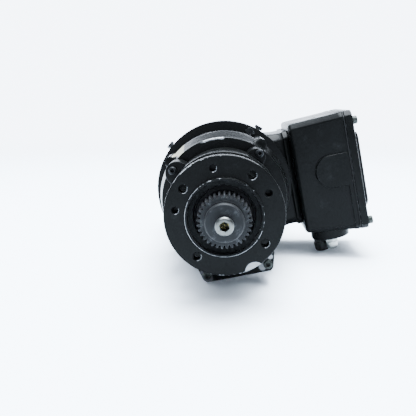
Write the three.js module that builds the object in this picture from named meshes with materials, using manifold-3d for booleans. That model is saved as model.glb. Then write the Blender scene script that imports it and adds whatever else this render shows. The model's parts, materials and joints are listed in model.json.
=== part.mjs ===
// Planetary geared motor, lying on its foot: a toothed output pinion and round mounting flange
// in front, a two-stage planetary gearbox, an electric motor behind it and a cast terminal box
// on its side.
//
// Every piece is drawn in the unit's own frame: x runs from the shaft axis to the terminal box,
// y runs back along the shaft from the mounting face, and z is up before the unit is rolled.

import * as THREE from "three";
import { mergeVertices } from "three/addons/utils/BufferGeometryUtils.js";
import Module from "manifold-3d";

const wasm = await Module();
wasm.setup();

// ---------------------------------------------------------------- driving dimensions, mm

const ROLL = THREE.MathUtils.degToRad(11.5); // how far the unit has rolled onto its cable gland
const GAP = 0.3; // left between pieces that touch
const CASTING_SIDES = 32;
const SHAFT_SIDES = 20;
const SMALL_SIDES = 10;

const FLANGE = { radius: 60, thickness: 14, rimRadius: 38.7, rimBore: 36.5, rimHeight: 8.5 };
const FLANGE_HOLES = { circle: 48.5, radius: 4, angles: [45, 135, 225, 315] };
const SPARE_HOLES = { circle: 48.5, radius: 3.4, angles: [17, 92, 162] };
const NECK = { radius: 46, back: 42 };
const BODY = { radius: 60, core: 52, back: 94.7 }; // the output housing behind its neck
const EAR = {
  circle: 61.5,
  screwCircle: 67.2,
  front: 66,
  sizes: [
    { angle: 45, radius: 10 },
    { angle: 135, radius: 13 },
  ],
};
const FOOT = { front: 66, halfWidth: 39.5, bottom: -83, screwX: 34, screwZ: -74 };

const PINION = { teeth: 33, module: 1.5, front: -26, back: -4 };
const CLAMP_WASHER = { radius: 18.7, front: -34 };
const SPACER = { radius: 6.9, front: -43 };
const PINION_SCREW = { headRadius: 8.7, headHeight: 5, shankRadius: 5, socket: 8, end: 6 };
const SHAFT = { noseRadius: 12, sealRadius: 20, collarRadius: 24, rearRadius: 25 };
const OUTPUT_SEAL = { radius: 30.7, front: 12, back: 20 };
const FRONT_BEARING = { radius: 40, bore: 20, front: 22, back: 40 };
const REAR_BEARING = { radius: 45, bore: 25, front: 61, back: 81 };

const STAGE = { module: 2, sunTeeth: 12, planetTeeth: 21, ringTeeth: 54, planets: 3 };
const ORBIT = (STAGE.module * (STAGE.sunTeeth + STAGE.planetTeeth)) / 2;
const PIN_RADIUS = 5;
const CARRIER_RADIUS = 46;
const CARRIER_ROOM = 50; // the housing's bore around the carrier
const STAGE_TWO = { plateFront: 84, plateBack: 96, gearFront: 97, gearBack: 117 };
const STAGE_ONE = { plateFront: 121, plateBack: 131, gearFront: 132, gearBack: 152 };
const SUN_SHANK_RADIUS = 9;
const RING = { radius: 63.7, front: 97, back: 160 };
const RING_HOUSING = { front: 95, frontRadius: 71.3, back: 184.7, rearRadius: 72, innerRadius: 56 };
const FLARE = { radius: 76.5, front: 100, crest: 130, crestBack: 146, back: 152 };
const HOUSING_BOSSES = { circle: 73, radius: 8, front: 112, back: 172, angles: [45, 135, 225, 315] };
const SPIGOT = { radius: 66.2, innerRadius: 60, sealFront: 168 }; // fits into the ring-gear housing

const ADAPTER = { radius: 86.5, bore: 19, front: 185, back: 199 };
const ADAPTER_BOLTS = { circle: 79.5, flats: 10, angles: [55, 140, 230, 310] };
const RIM_BOLTS = { flats: 9, angles: [49.5, 130] };
const ROTOR_SHAFT = {
  noseRadius: 7,
  sealRadius: 14,
  sealFront: 158.5,
  bearingRadius: 15,
  coreRadius: 18,
  rearRadius: 12.5,
  rearBack: 353,
  fanRadius: 10,
};
const MOTOR_SEAL = { radius: 24, front: 168.5, back: 175.5 };
const MOTOR_BEARING = { radius: 31, bore: 15, front: 178.3, back: 194.3 };
const MOTOR_REAR_BEARING = { radius: 26, bore: 12.5, front: 334, back: 349 };

const FRAME = { bore: 66, wall: 70.5, finRadius: 76, fins: 28, front: 199.3, back: 340 };
const CORE = { radius: 65.6, bore: 43, front: 232, back: 318, slots: 12, slotHalfWidth: 5.5 };
const ROTOR_CORE_RADIUS = 42.2;
const WINDING = { inner: 46, outer: 62, overhang: 19 };
const END_SHIELD = { radius: 76, front: 340.3, back: 352 };
const FAN = { radius: 62, hub: 16, front: 357, back: 378, blades: 7 };
const COWL = { radius: 79, wall: 2, front: 343, back: 396 };

const PEDESTAL = { inner: 60, outer: 93, front: 200, back: 286, bottom: -68, top: 54 };
const BOX = { inner: 93.3, outer: 162, front: 178, back: 288, bottom: -86, top: 67, wall: 5.5, corner: 9 };
const BOX_DRAFT = { side: 2, bottom: 7, top: 3.5 }; // how much wider the box's mouth is than its floor
const COVER = { front: 163.9, ledge: 174, crown: 181, gasketWidth: 15 };
const PLATEAU = { side: 15, bottom: 25, top: 28 }; // from the cover's edges to its raised middle
const COVER_SCREW = { inset: 9.5, bottom: -77, top: 53.5, pillarRadius: 7.5 };
const COVER_SCREW_SIZE = { headRadius: 5.2, headHeight: 6, shankRadius: 2.6, socket: 5, length: 24 };
const PAD = { x: 138, z: -4, radius: 21, bottom: -25, top: 17, height: 2.2 };
const EDGE_STRIP = { inner: 156, bottom: -80, top: 0 };
const M5 = { headRadius: 4.25, headHeight: 5, shankRadius: 2.5, socket: 4 };
const M6 = { headRadius: 5, headHeight: 5, shankRadius: 3, socket: 5 };
const M6_BOLT = { headHeight: 4, shankRadius: 3 };
const WIRE_WAY = { y: 222, z: 0, width: 26, height: 34 };
const ENTRY_BOSS = { x: 127.5, y: 216, radius: 25, bottom: -95 };
const GLAND = { x: 114.5, y: 220, thread: 8, flats: 18, bore: 6.5, sealBore: 4.7, hex: 6, end: 18.4 };
const BLANKING_PLUG = { x: 126, y: 204, thread: 6, flats: 15 };

// ---------------------------------------------------------------- geometry helpers

const polar = (angle, radius, y = 0) => {
  const turn = THREE.MathUtils.degToRad(angle);
  return new THREE.Vector3(radius * Math.cos(turn), y, radius * Math.sin(turn));
};

// Long enough to cut through anything.
const FAR = 400;

// The corner radius of a hole with flat sides that clears a round piece by GAP.
const clear = (radius, sides) => (radius + GAP) / Math.cos(Math.PI / sides);

// Turns a closed geometry inside out when its faces point inwards.
function outward(geometry) {
  const { index, attributes } = geometry;
  const corner = (i) => new THREE.Vector3().fromBufferAttribute(attributes.position, index.getX(i));
  let volume = 0;
  for (let i = 0; i < index.count; i += 3) {
    volume += corner(i).dot(corner(i + 1).cross(corner(i + 2)));
  }
  if (volume < 0) index.array.reverse();
  return geometry;
}

function solidOf(geometry) {
  const bare = geometry.clone();
  bare.deleteAttribute("normal");
  bare.deleteAttribute("uv");
  const merged = mergeVertices(bare, 1e-4);
  return new wasm.Manifold(
    new wasm.Mesh({
      numProp: 3,
      vertProperties: merged.attributes.position.array,
      triVerts: new Uint32Array(merged.index.array),
    }),
  );
}

function geometryOf(solid) {
  const mesh = solid.getMesh();
  return new THREE.BufferGeometry()
    .setAttribute("position", new THREE.BufferAttribute(mesh.vertProperties, 3))
    .setIndex(new THREE.BufferAttribute(mesh.triVerts, 1));
}

const join = (first, ...others) =>
  geometryOf(others.reduce((sum, part) => sum.add(solidOf(part)), solidOf(first)));

const cut = (blank, ...tools) =>
  geometryOf(tools.reduce((rest, tool) => rest.subtract(solidOf(tool)), solidOf(blank)));

// A solid of revolution about y. The profile is a list of [radius, y] that closes on itself.
function lathe(profile, sides) {
  const points = [...profile, profile[0]].map(([radius, y]) => new THREE.Vector2(radius, y));
  return outward(new THREE.LatheGeometry(points, sides));
}

const cylinder = (radius, front, back, sides = SMALL_SIDES) =>
  lathe([[0, front], [radius, front], [radius, back], [0, back]], sides);

const tube = (inner, outer, front, back, sides = SHAFT_SIDES) =>
  lathe([[inner, front], [outer, front], [outer, back], [inner, back]], sides);

const hexagon = (flats, front, back) => cylinder(flats / Math.sqrt(3), front, back, 6);

// A prism along y between front and back, with its outline and holes given as [x, z] points.
function prism(outline, front, back, holes = []) {
  const vectors = (points) => points.map(([x, z]) => new THREE.Vector2(x, z));
  const shape = new THREE.Shape(vectors(outline));
  shape.holes = holes.map((hole) => new THREE.Path(vectors(hole)));
  return new THREE.ExtrudeGeometry(shape, { depth: back - front, bevelEnabled: false })
    .rotateX(Math.PI / 2)
    .translate(0, back, 0);
}

const circle = (radius, sides) =>
  Array.from({ length: sides }, (_, i) => {
    const point = polar((360 * i) / sides, radius);
    return [point.x, point.z];
  });

const block = (x, y, z) =>
  new THREE.BoxGeometry(x[1] - x[0], y[1] - y[0], z[1] - z[0]).translate(
    (x[0] + x[1]) / 2,
    (y[0] + y[1]) / 2,
    (z[0] + z[1]) / 2,
  );

// A rectangle in y and z with round corners, as a ring of points at one x.
function roundedRing(x, [front, back], [bottom, top], radius, steps = 4) {
  const corners = [
    [back - radius, top - radius, 0],
    [front + radius, top - radius, 90],
    [front + radius, bottom + radius, 180],
    [back - radius, bottom + radius, 270],
  ];
  return corners.flatMap(([y, z, start]) =>
    Array.from({ length: steps + 1 }, (_, i) => {
      const turn = THREE.MathUtils.degToRad(start + (90 * i) / steps);
      return [x, y + radius * Math.cos(turn), z + radius * Math.sin(turn)];
    }),
  );
}

// A closed solid through rings with the same number of points, with a flat cap on each end.
function loft(rings) {
  const count = rings[0].length;
  const centre = (ring) => [0, 1, 2].map((k) => ring.reduce((sum, p) => sum + p[k], 0) / count);
  const last = rings.length - 1;
  const points = [...rings.flat(), centre(rings[0]), centre(rings[last])];
  const [lowCap, highCap] = [points.length - 2, points.length - 1];
  const faces = [];
  for (let i = 0; i < count; i += 1) {
    const next = (i + 1) % count;
    for (let r = 0; r < last; r += 1) {
      const [a, b] = [r * count + i, r * count + next];
      faces.push(a, b, b + count, a, b + count, a + count);
    }
    faces.push(next, i, lowCap, last * count + i, last * count + next, highCap);
  }
  return outward(
    new THREE.BufferGeometry()
      .setAttribute("position", new THREE.Float32BufferAttribute(points.flat(), 3))
      .setIndex(faces),
  );
}

// ---------------------------------------------------------------- gears

const PRESSURE_ANGLE = THREE.MathUtils.degToRad(20);
const TOOTH_THINNING = 0.2; // taken off each tooth at the pitch circle for backlash
const involute = (angle) => Math.tan(angle) - angle;

// Corner points of a spur gear with one tooth centred on the angle phase, in radians. levels are
// the radii where a flank has a point, from root to tip.
function gearOutline({ teeth, module, levels, phase, internal = false }) {
  const pitch = (teeth * module) / 2;
  const base = pitch * Math.cos(PRESSURE_ANGLE);
  const halfTooth = (radius) => {
    const roll = involute(Math.acos(Math.min(1, base / radius))) - involute(PRESSURE_ANGLE);
    const half = Math.PI / (2 * teeth) - TOOTH_THINNING / (2 * pitch);
    return half + (internal ? roll : -roll);
  };
  const point = (radius, angle) => [radius * Math.cos(angle), radius * Math.sin(angle)];
  return Array.from({ length: teeth }, (_, i) => {
    const middle = phase + (2 * Math.PI * i) / teeth;
    const rise = levels.map((radius) => point(radius, middle - halfTooth(radius)));
    const fall = levels.map((radius) => point(radius, middle + halfTooth(radius)));
    return [...rise, ...fall.reverse()];
  }).flat();
}

// Root and tip radii. The short addendum keeps the planets' tips out of the sun's roots.
function toothLevels(teeth, module, side = 1) {
  const pitch = (teeth * module) / 2;
  return [pitch - side * 1.2 * module, pitch + side * 0.8 * module];
}

const planetAngle = (index) => (360 * index) / STAGE.planets;

// The turn that puts a planet's teeth in the gaps of a sun with a tooth on angle 0.
function planetPhase(index) {
  const around = THREE.MathUtils.degToRad(planetAngle(index));
  return around + Math.PI - (Math.PI - STAGE.sunTeeth * around) / STAGE.planetTeeth;
}

const RING_PHASE = (STAGE.planetTeeth * planetPhase(0) + Math.PI) / STAGE.ringTeeth;

function sunOutline() {
  const [root, tip] = toothLevels(STAGE.sunTeeth, STAGE.module);
  const pitch = (STAGE.sunTeeth * STAGE.module) / 2;
  const levels = [root, pitch, tip];
  return gearOutline({ teeth: STAGE.sunTeeth, module: STAGE.module, levels, phase: 0 });
}

// ---------------------------------------------------------------- gearbox castings

function holes({ circle: radius, radius: size, angles }, front, back) {
  return angles.map((angle) => {
    const at = polar(angle, radius);
    return cylinder(size, front, back).translate(at.x, 0, at.z);
  });
}

function footOutline() {
  const { halfWidth, bottom } = FOOT;
  const half = [
    [halfWidth - 3.5, bottom],
    [halfWidth, bottom + 3],
    [43.5, -65],
    [45, -38],
  ];
  const mirrored = half.map(([x, z]) => [-x, z]).reverse();
  return [...half, ...mirrored];
}

function earHoles(front, back) {
  const angles = EAR.sizes.map(({ angle }) => angle);
  const radius = clear(M5.shankRadius, SMALL_SIDES);
  return holes({ circle: EAR.screwCircle, radius, angles }, front, back);
}

function outputHousing() {
  const { radius, thickness, rimRadius, rimBore, rimHeight } = FLANGE;
  const profile = [
    [rimBore, -rimHeight + 0.8],
    [rimBore + 0.8, -rimHeight],
    [rimRadius, -rimHeight],
    [rimRadius, 0],
    [radius - 1.5, 0],
    [radius, 1.5],
    [radius, thickness - 1.5],
    [radius - 1.5, thickness],
    [NECK.radius, thickness],
    [NECK.radius, NECK.back],
    [BODY.radius - 1.5, NECK.back],
    [BODY.radius, NECK.back + 1.5],
    [BODY.radius, BODY.back],
    [CARRIER_ROOM, BODY.back],
    [CARRIER_ROOM, REAR_BEARING.back + 1],
    [REAR_BEARING.radius + GAP, REAR_BEARING.back + 1],
    [REAR_BEARING.radius + GAP, REAR_BEARING.front - GAP],
    [FRONT_BEARING.radius + GAP, REAR_BEARING.front - GAP],
    [FRONT_BEARING.radius + GAP, FRONT_BEARING.front - GAP],
    [OUTPUT_SEAL.radius + GAP, FRONT_BEARING.front - GAP],
    [OUTPUT_SEAL.radius + GAP, 1.5],
    [rimBore - 0.5, -2],
  ];
  const ears = EAR.sizes.map(({ angle, radius: size }) => {
    const at = polar(angle, EAR.circle);
    return cylinder(size, EAR.front, BODY.back, SHAFT_SIDES).translate(at.x, 0, at.z);
  });
  const footHole = cylinder(clear(M6.shankRadius, SMALL_SIDES), FOOT.front - 5, FOOT.front + 19);
  const footScrews = [-1, 1].map((side) =>
    footHole.clone().translate(side * FOOT.screwX, 0, FOOT.screwZ),
  );
  const shell = lathe(profile, CASTING_SIDES);
  const foot = prism(footOutline(), FOOT.front, BODY.back);
  const core = cylinder(BODY.core, 0, FAR, CASTING_SIDES);
  return cut(
    join(shell, ...[foot, ...ears].map((lug) => cut(lug, core))),
    ...holes(FLANGE_HOLES, -5, thickness + 5),
    ...holes(SPARE_HOLES, -5, thickness - 3),
    ...footScrews,
    ...earHoles(EAR.front - 5, BODY.back + 5),
  );
}

function ringGearHousing() {
  const { front, frontRadius, innerRadius, rearRadius, back } = RING_HOUSING;
  const profile = [
    [innerRadius, front],
    [frontRadius - 1.5, front],
    [frontRadius, front + 1.5],
    [frontRadius, FLARE.front],
    [FLARE.radius, FLARE.crest],
    [FLARE.radius, FLARE.crestBack],
    [rearRadius, FLARE.back],
    [rearRadius, back],
    [SPIGOT.radius + GAP, back],
    [SPIGOT.radius + GAP, RING.back + GAP],
    [RING.radius + GAP, RING.back + GAP],
    [RING.radius + GAP, RING.front - GAP],
    [innerRadius, RING.front - GAP],
  ];
  const core = cylinder(rearRadius - 3.5, 0, FAR, CASTING_SIDES);
  const bosses = HOUSING_BOSSES.angles.map((angle) => {
    const at = polar(angle, HOUSING_BOSSES.circle);
    const boss = cylinder(HOUSING_BOSSES.radius, HOUSING_BOSSES.front, HOUSING_BOSSES.back, SHAFT_SIDES);
    return cut(boss.translate(at.x, 0, at.z), core);
  });
  return cut(join(lathe(profile, CASTING_SIDES), ...bosses), ...earHoles(front - 5, front + 11));
}

function ringGear() {
  const { ringTeeth: teeth, module } = STAGE;
  const levels = toothLevels(teeth, module, -1);
  const bore = gearOutline({ teeth, module, levels, phase: RING_PHASE, internal: true });
  return prism(circle(RING.radius, CASTING_SIDES), RING.front, RING.back, [bore]);
}

function motorAdapter() {
  const { radius, bore, front, back } = ADAPTER;
  const profile = [
    [MOTOR_SEAL.radius + GAP, SPIGOT.sealFront],
    [SPIGOT.innerRadius, SPIGOT.sealFront],
    [SPIGOT.innerRadius, RING.back + 1],
    [SPIGOT.radius, RING.back + 1],
    [SPIGOT.radius, front],
    [radius - 1.2, front],
    [radius, front + 1.2],
    [radius, back - 1.2],
    [radius - 1.2, back],
    [MOTOR_BEARING.radius + GAP, back],
    [MOTOR_BEARING.radius + GAP, MOTOR_BEARING.front - GAP],
    [bore, MOTOR_BEARING.front - GAP],
    [bore, MOTOR_SEAL.back + GAP],
    [MOTOR_SEAL.radius + GAP, MOTOR_SEAL.back + GAP],
  ];
  const boltHoles = { ...ADAPTER_BOLTS, radius: clear(M6_BOLT.shankRadius, SMALL_SIDES) };
  const rimHoles = RIM_BOLTS.angles.map((angle) => {
    const at = polar(angle, radius, (front + back) / 2);
    return cylinder(boltHoles.radius, -15, 5)
      .rotateZ(-Math.PI / 2)
      .rotateY(-THREE.MathUtils.degToRad(angle))
      .translate(at.x, at.y, at.z);
  });
  const blank = lathe(profile, CASTING_SIDES);
  return cut(blank, ...holes(boltHoles, front - 5, back + 5), ...rimHoles);
}

// ---------------------------------------------------------------- output shaft and pinion

function carrierHoles(front, back) {
  return Array.from({ length: STAGE.planets }, (_, i) => {
    const at = polar(planetAngle(i), ORBIT);
    return cylinder(clear(PIN_RADIUS, SMALL_SIDES), front, back).translate(at.x, 0, at.z);
  });
}

function outputShaft() {
  const { noseRadius, sealRadius, collarRadius, rearRadius } = SHAFT;
  const { plateFront, plateBack } = STAGE_TWO;
  const nose = PINION.front + 0.5;
  const screwBore = clear(PINION_SCREW.shankRadius, SMALL_SIDES);
  const profile = [
    [0, PINION_SCREW.end + 4],
    [screwBore, PINION_SCREW.end + 4],
    [screwBore, nose],
    [noseRadius, nose],
    [noseRadius, PINION.back + GAP],
    [sealRadius, PINION.back + GAP],
    [sealRadius, FRONT_BEARING.back + GAP],
    [collarRadius, FRONT_BEARING.back + GAP],
    [collarRadius, REAR_BEARING.front - 2],
    [rearRadius, REAR_BEARING.front - 2],
    [rearRadius, REAR_BEARING.back + GAP],
    [CARRIER_RADIUS, plateFront],
    [CARRIER_RADIUS, plateBack],
    [16, plateBack],
    [16, plateBack - 6],
    [0, plateBack - 6],
  ];
  return cut(lathe(profile, SHAFT_SIDES), ...carrierHoles(plateFront + 2, plateBack + 5));
}

function outputPinion() {
  const { teeth, module, front, back } = PINION;
  const pitch = (teeth * module) / 2;
  const levels = [pitch - 1.25 * module, pitch, pitch + module];
  const outline = gearOutline({ teeth, module, levels, phase: Math.PI / 2 });
  const bore = circle(clear(SHAFT.noseRadius, SHAFT_SIDES), SHAFT_SIDES);
  return prism(outline, front, back, [bore]);
}

function clampWasher() {
  const bore = clear(PINION_SCREW.shankRadius, SHAFT_SIDES);
  const { radius, front } = CLAMP_WASHER;
  const back = PINION.front - GAP;
  const rounding = [0, 30, 60, 90].map((angle) => {
    const turn = THREE.MathUtils.degToRad(angle);
    return [radius - 2 + 2 * Math.sin(turn), front + 2 - 2 * Math.cos(turn)];
  });
  return lathe([[bore, front], ...rounding, [radius, back], [bore, back]], SHAFT_SIDES);
}

const spacerSleeve = () =>
  tube(
    clear(PINION_SCREW.shankRadius, SHAFT_SIDES),
    SPACER.radius,
    SPACER.front,
    CLAMP_WASHER.front - GAP,
  );

// A socket head screw along y with its head's front face at y = 0 and its shank behind it.
function socketScrew({ headRadius, headHeight, shankRadius, length, socket }, sides = SHAFT_SIDES) {
  const profile = [
    [0, 0],
    [headRadius - 0.8, 0],
    [headRadius, 0.8],
    [headRadius, headHeight],
    [shankRadius, headHeight],
    [shankRadius, length],
    [0, length],
  ];
  return cut(lathe(profile, sides), hexagon(socket, -5, headHeight * 0.7));
}

// A hexagon head screw along y, its head's front face at y = 0.
const hexScrew = ({ flats, headHeight, shankRadius, length }) =>
  join(hexagon(flats, 0, headHeight), cylinder(shankRadius, headHeight / 2, length));

function lipSeal({ radius, front, back }, shaft) {
  const bore = clear(shaft, SHAFT_SIDES);
  const profile = [
    [bore, front],
    [bore + 3, front + 2],
    [radius - 2, front + 2],
    [radius, front],
    [radius, back],
    [bore, back],
  ];
  return lathe(profile, SHAFT_SIDES);
}

// A sealed ball bearing, with the shallow face that its shields leave between the two rings.
function bearing({ radius, bore, front, back }) {
  const inner = clear(bore, SHAFT_SIDES);
  const step = (radius - bore) / 4;
  const profile = [
    [inner, front],
    [inner + step, front],
    [(inner + radius) / 2, front + 1.5],
    [radius - step, front],
    [radius, front],
    [radius, back],
    [inner, back],
  ];
  return lathe(profile, SHAFT_SIDES);
}

// ---------------------------------------------------------------- planetary stages

function planetGear(index, stage) {
  const { planetTeeth: teeth, module } = STAGE;
  const outline = gearOutline({
    teeth,
    module,
    levels: toothLevels(teeth, module),
    phase: planetPhase(index),
  });
  const bore = circle(clear(PIN_RADIUS, SMALL_SIDES), SMALL_SIDES);
  return prism(outline, stage.gearFront, stage.gearBack, [bore]);
}

const planetPin = (stage) => cylinder(PIN_RADIUS, stage.plateFront + 3, stage.gearBack + 2);

function firstStageCarrier() {
  const { plateFront, plateBack } = STAGE_ONE;
  const bore = clear(SUN_SHANK_RADIUS, SMALL_SIDES);
  const plate = tube(bore, CARRIER_RADIUS, plateFront, plateBack);
  return cut(plate, ...carrierHoles(plateFront + 2, plateBack + 5));
}

const secondSunGear = () =>
  join(
    prism(sunOutline(), STAGE_TWO.gearFront, STAGE_ONE.plateFront - 1),
    cylinder(SUN_SHANK_RADIUS, STAGE_ONE.plateFront - 3, STAGE_ONE.plateBack - 1),
  );

function firstSunGear() {
  const bore = circle(clear(ROTOR_SHAFT.noseRadius, SHAFT_SIDES), SHAFT_SIDES);
  return prism(sunOutline(), STAGE_ONE.plateBack + 1, ROTOR_SHAFT.sealFront - 0.5, [bore]);
}

// ---------------------------------------------------------------- motor

function rotorShaft() {
  const { noseRadius, sealRadius, sealFront, bearingRadius, coreRadius } = ROTOR_SHAFT;
  const { rearRadius, rearBack, fanRadius } = ROTOR_SHAFT;
  const profile = [
    [0, STAGE_ONE.gearFront + 1],
    [noseRadius, STAGE_ONE.gearFront + 1],
    [noseRadius, sealFront],
    [sealRadius, sealFront],
    [sealRadius, MOTOR_BEARING.front - 1],
    [bearingRadius, MOTOR_BEARING.front - 1],
    [bearingRadius, MOTOR_BEARING.back + GAP],
    [coreRadius, MOTOR_BEARING.back + GAP],
    [coreRadius, MOTOR_REAR_BEARING.front - GAP],
    [rearRadius, MOTOR_REAR_BEARING.front - GAP],
    [rearRadius, rearBack],
    [fanRadius, rearBack],
    [fanRadius, FAN.back - 3],
    [0, FAN.back - 3],
  ];
  return lathe(profile, SHAFT_SIDES);
}

const rotorCore = () =>
  tube(clear(ROTOR_SHAFT.coreRadius, SHAFT_SIDES), ROTOR_CORE_RADIUS, CORE.front, CORE.back);

// A slot through the stator core, or the coil side that fills it, at one of the slots' angles.
function slotBar(index, halfWidth, inner, outer, front, back) {
  return block([inner, outer], [front, back], [-halfWidth, halfWidth]).rotateY(
    (2 * Math.PI * (index + 0.5)) / CORE.slots,
  );
}

const eachSlot = (make) => Array.from({ length: CORE.slots }, (_, i) => make(i));

const statorCore = () =>
  cut(
    tube(CORE.bore, CORE.radius, CORE.front, CORE.back, CASTING_SIDES),
    ...eachSlot((i) => slotBar(i, CORE.slotHalfWidth, WINDING.inner + 2, WINDING.outer - 4, 0, FAR)),
  );

function statorWinding() {
  const { inner, outer, overhang } = WINDING;
  const coil = (front, back) =>
    lathe(
      [
        [inner, front + 4],
        [inner + 5, front],
        [outer - 5, front],
        [outer, front + 4],
        [outer, back],
        [inner, back],
      ],
      SHAFT_SIDES,
    );
  const bars = eachSlot((i) =>
    slotBar(i, CORE.slotHalfWidth - 0.5, inner + 2.5, outer - 4.5, CORE.front - 8, CORE.back + 8),
  );
  const middle = (CORE.front + CORE.back) / 2;
  const frontCoil = coil(CORE.front - GAP - overhang, CORE.front - GAP);
  const backCoil = frontCoil.clone().rotateX(Math.PI).translate(0, 2 * middle, 0);
  return join(frontCoil, backCoil, ...bars);
}

// The frame's fins stand all the way round except where the pedestal of the terminal box is.
function statorFrame() {
  const { bore, wall, finRadius, fins, front, back } = FRAME;
  const pitch = 360 / fins;
  const outline = Array.from({ length: fins }, (_, i) => {
    const middle = pitch * i;
    return [
      [wall, middle - 0.26 * pitch],
      [finRadius, middle - 0.14 * pitch],
      [finRadius, middle + 0.14 * pitch],
      [wall, middle + 0.26 * pitch],
    ].map(([radius, angle]) => {
      const at = polar(angle, radius);
      return [at.x, at.z];
    });
  }).flat();
  const coreSeat = circle(clear(CORE.radius, CASTING_SIDES), CASTING_SIDES);
  const shell = prism(outline, front, back, [coreSeat]);
  const ring = (x, corner) =>
    roundedRing(x, [PEDESTAL.front, PEDESTAL.back], [PEDESTAL.bottom, PEDESTAL.top], corner);
  const pedestal = cut(
    loft([ring(PEDESTAL.inner, 12), ring(PEDESTAL.outer, 6)]),
    cylinder(bore + 2, 0, FAR, CASTING_SIDES),
  );
  return cut(join(shell, pedestal), wireWay(50, 120));
}

function wireWay(from, to) {
  const { y, z, width, height } = WIRE_WAY;
  return block([from, to], [y - width / 2, y + width / 2], [z - height / 2, z + height / 2]);
}

function rearEndShield() {
  const { radius, front, back } = END_SHIELD;
  const seat = MOTOR_REAR_BEARING.radius + GAP;
  const shaftHole = clear(ROTOR_SHAFT.rearRadius + 0.5, CASTING_SIDES);
  const profile = [
    [shaftHole, back],
    [shaftHole, MOTOR_REAR_BEARING.back + GAP],
    [seat, MOTOR_REAR_BEARING.back + GAP],
    [seat, MOTOR_REAR_BEARING.front - 4],
    [seat + 6, MOTOR_REAR_BEARING.front - 4],
    [seat + 8, front],
    [radius - 1, front],
    [radius, front + 1],
    [radius, back - 1],
    [radius - 1, back],
  ];
  return lathe(profile, CASTING_SIDES);
}

function coolingFan() {
  const { radius, hub, front, back, blades } = FAN;
  const bore = clear(ROTOR_SHAFT.fanRadius, SHAFT_SIDES);
  const disc = lathe(
    [
      [bore, front],
      [radius, front],
      [radius, front + 2],
      [hub, front + 3],
      [hub, back - 2],
      [bore, back - 2],
    ],
    SHAFT_SIDES,
  );
  const blade = (i) =>
    block([hub - 2, radius - 1], [front + 1, back], [-1, 1]).rotateY((2 * Math.PI * i) / blades);
  return join(disc, ...Array.from({ length: blades }, (_, i) => blade(i)));
}

function fanCowl() {
  const { radius, wall, front, back } = COWL;
  const inner = radius - wall;
  const profile = [
    [inner, front],
    [radius, front],
    [radius, back - 4],
    [radius - 4, back],
    [0, back],
    [0, back - wall],
    [inner - 3, back - wall],
    [inner, back - wall - 3],
  ];
  const slots = [
    { count: 8, inner: 18, outer: 38, halfWidth: 3.5 },
    { count: 16, inner: 46, outer: 67, halfWidth: 4 },
  ];
  const cutters = slots.flatMap(({ count, inner: from, outer: to, halfWidth }) => {
    const slot = block([from, to], [back - 8, back + 5], [-halfWidth, halfWidth]);
    return Array.from({ length: count }, (_, i) => slot.clone().rotateY((2 * Math.PI * i) / count));
  });
  return cut(lathe(profile, CASTING_SIDES), ...cutters);
}

// ---------------------------------------------------------------- terminal box

// The box's outline widens from its floor to its mouth. inset moves it inwards.
function boxRing(x, inset, corner = BOX.corner) {
  const { inner, outer, front, back, bottom, top } = BOX;
  const share = (outer - x) / (outer - inner);
  const side = BOX_DRAFT.side * share + inset;
  const low = bottom + BOX_DRAFT.bottom * share + inset;
  const high = top - BOX_DRAFT.top * share - inset;
  return roundedRing(x, [front + side, back - side], [low, high], corner);
}

function coverScrewPlaces() {
  const { inset, bottom, top } = COVER_SCREW;
  return [top, bottom].flatMap((z) => [
    [BOX.front + inset, z],
    [BOX.back - inset, z],
  ]);
}

const alongX = (radius, from, to, y, z, sides = SMALL_SIDES) =>
  cylinder(radius, from, to, sides)
    .rotateZ(-Math.PI / 2)
    .translate(0, y, z);

const alongZ = (radius, from, to, x, y, sides = SMALL_SIDES) =>
  cylinder(radius, from, to, sides)
    .rotateX(Math.PI / 2)
    .translate(x, y, 0);

const screwHoles = (from, to) =>
  coverScrewPlaces().map(([y, z]) =>
    alongX(clear(COVER_SCREW_SIZE.shankRadius, SMALL_SIDES), from, to, y, z),
  );

// The raised pad on the box's front face: round towards the motor, with a strip below it.
function facePad() {
  const { front, outer } = BOX;
  const depth = [front - PAD.height, front + 3];
  return join(
    cylinder(PAD.radius, ...depth, SHAFT_SIDES).translate(PAD.x, 0, PAD.z),
    block([PAD.x, outer - 1], depth, [PAD.bottom, PAD.top]),
    block([EDGE_STRIP.inner, outer - 1], depth, [EDGE_STRIP.bottom, EDGE_STRIP.top]),
  );
}

function terminalBox() {
  const { inner, outer, wall, corner } = BOX;
  const { x, y, radius, bottom } = ENTRY_BOSS;
  const shell = loft([boxRing(inner, 3, corner - 2), boxRing(inner + 3, 0), boxRing(outer, 0)]);
  const cavity = cut(
    loft([boxRing(inner + wall, wall, corner - 4), boxRing(outer + 1, wall, corner - 4)]),
    ...coverScrewPlaces().map((place) =>
      alongX(COVER_SCREW.pillarRadius, inner, outer + 5, ...place),
    ),
  );
  const entries = [GLAND, BLANKING_PLUG].map((fitting) =>
    alongZ(clear(fitting.thread, SMALL_SIDES), bottom - 5, bottom + 30, fitting.x, fitting.y),
  );
  return cut(
    join(shell, alongZ(radius, bottom, bottom + 20, x, y, SHAFT_SIDES), facePad()),
    cavity,
    wireWay(80, 110),
    ...entries,
    ...screwHoles(outer - 18, outer + 5),
  );
}

function coverGasket() {
  const { front, gasketWidth } = COVER;
  return cut(
    loft([boxRing(BOX.outer + GAP, 0.5), boxRing(front - GAP, 0.5)]),
    loft([boxRing(BOX.outer - 1, gasketWidth), boxRing(front + 1, gasketWidth)]),
    ...screwHoles(BOX.outer - 5, front + 5),
  );
}

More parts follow.
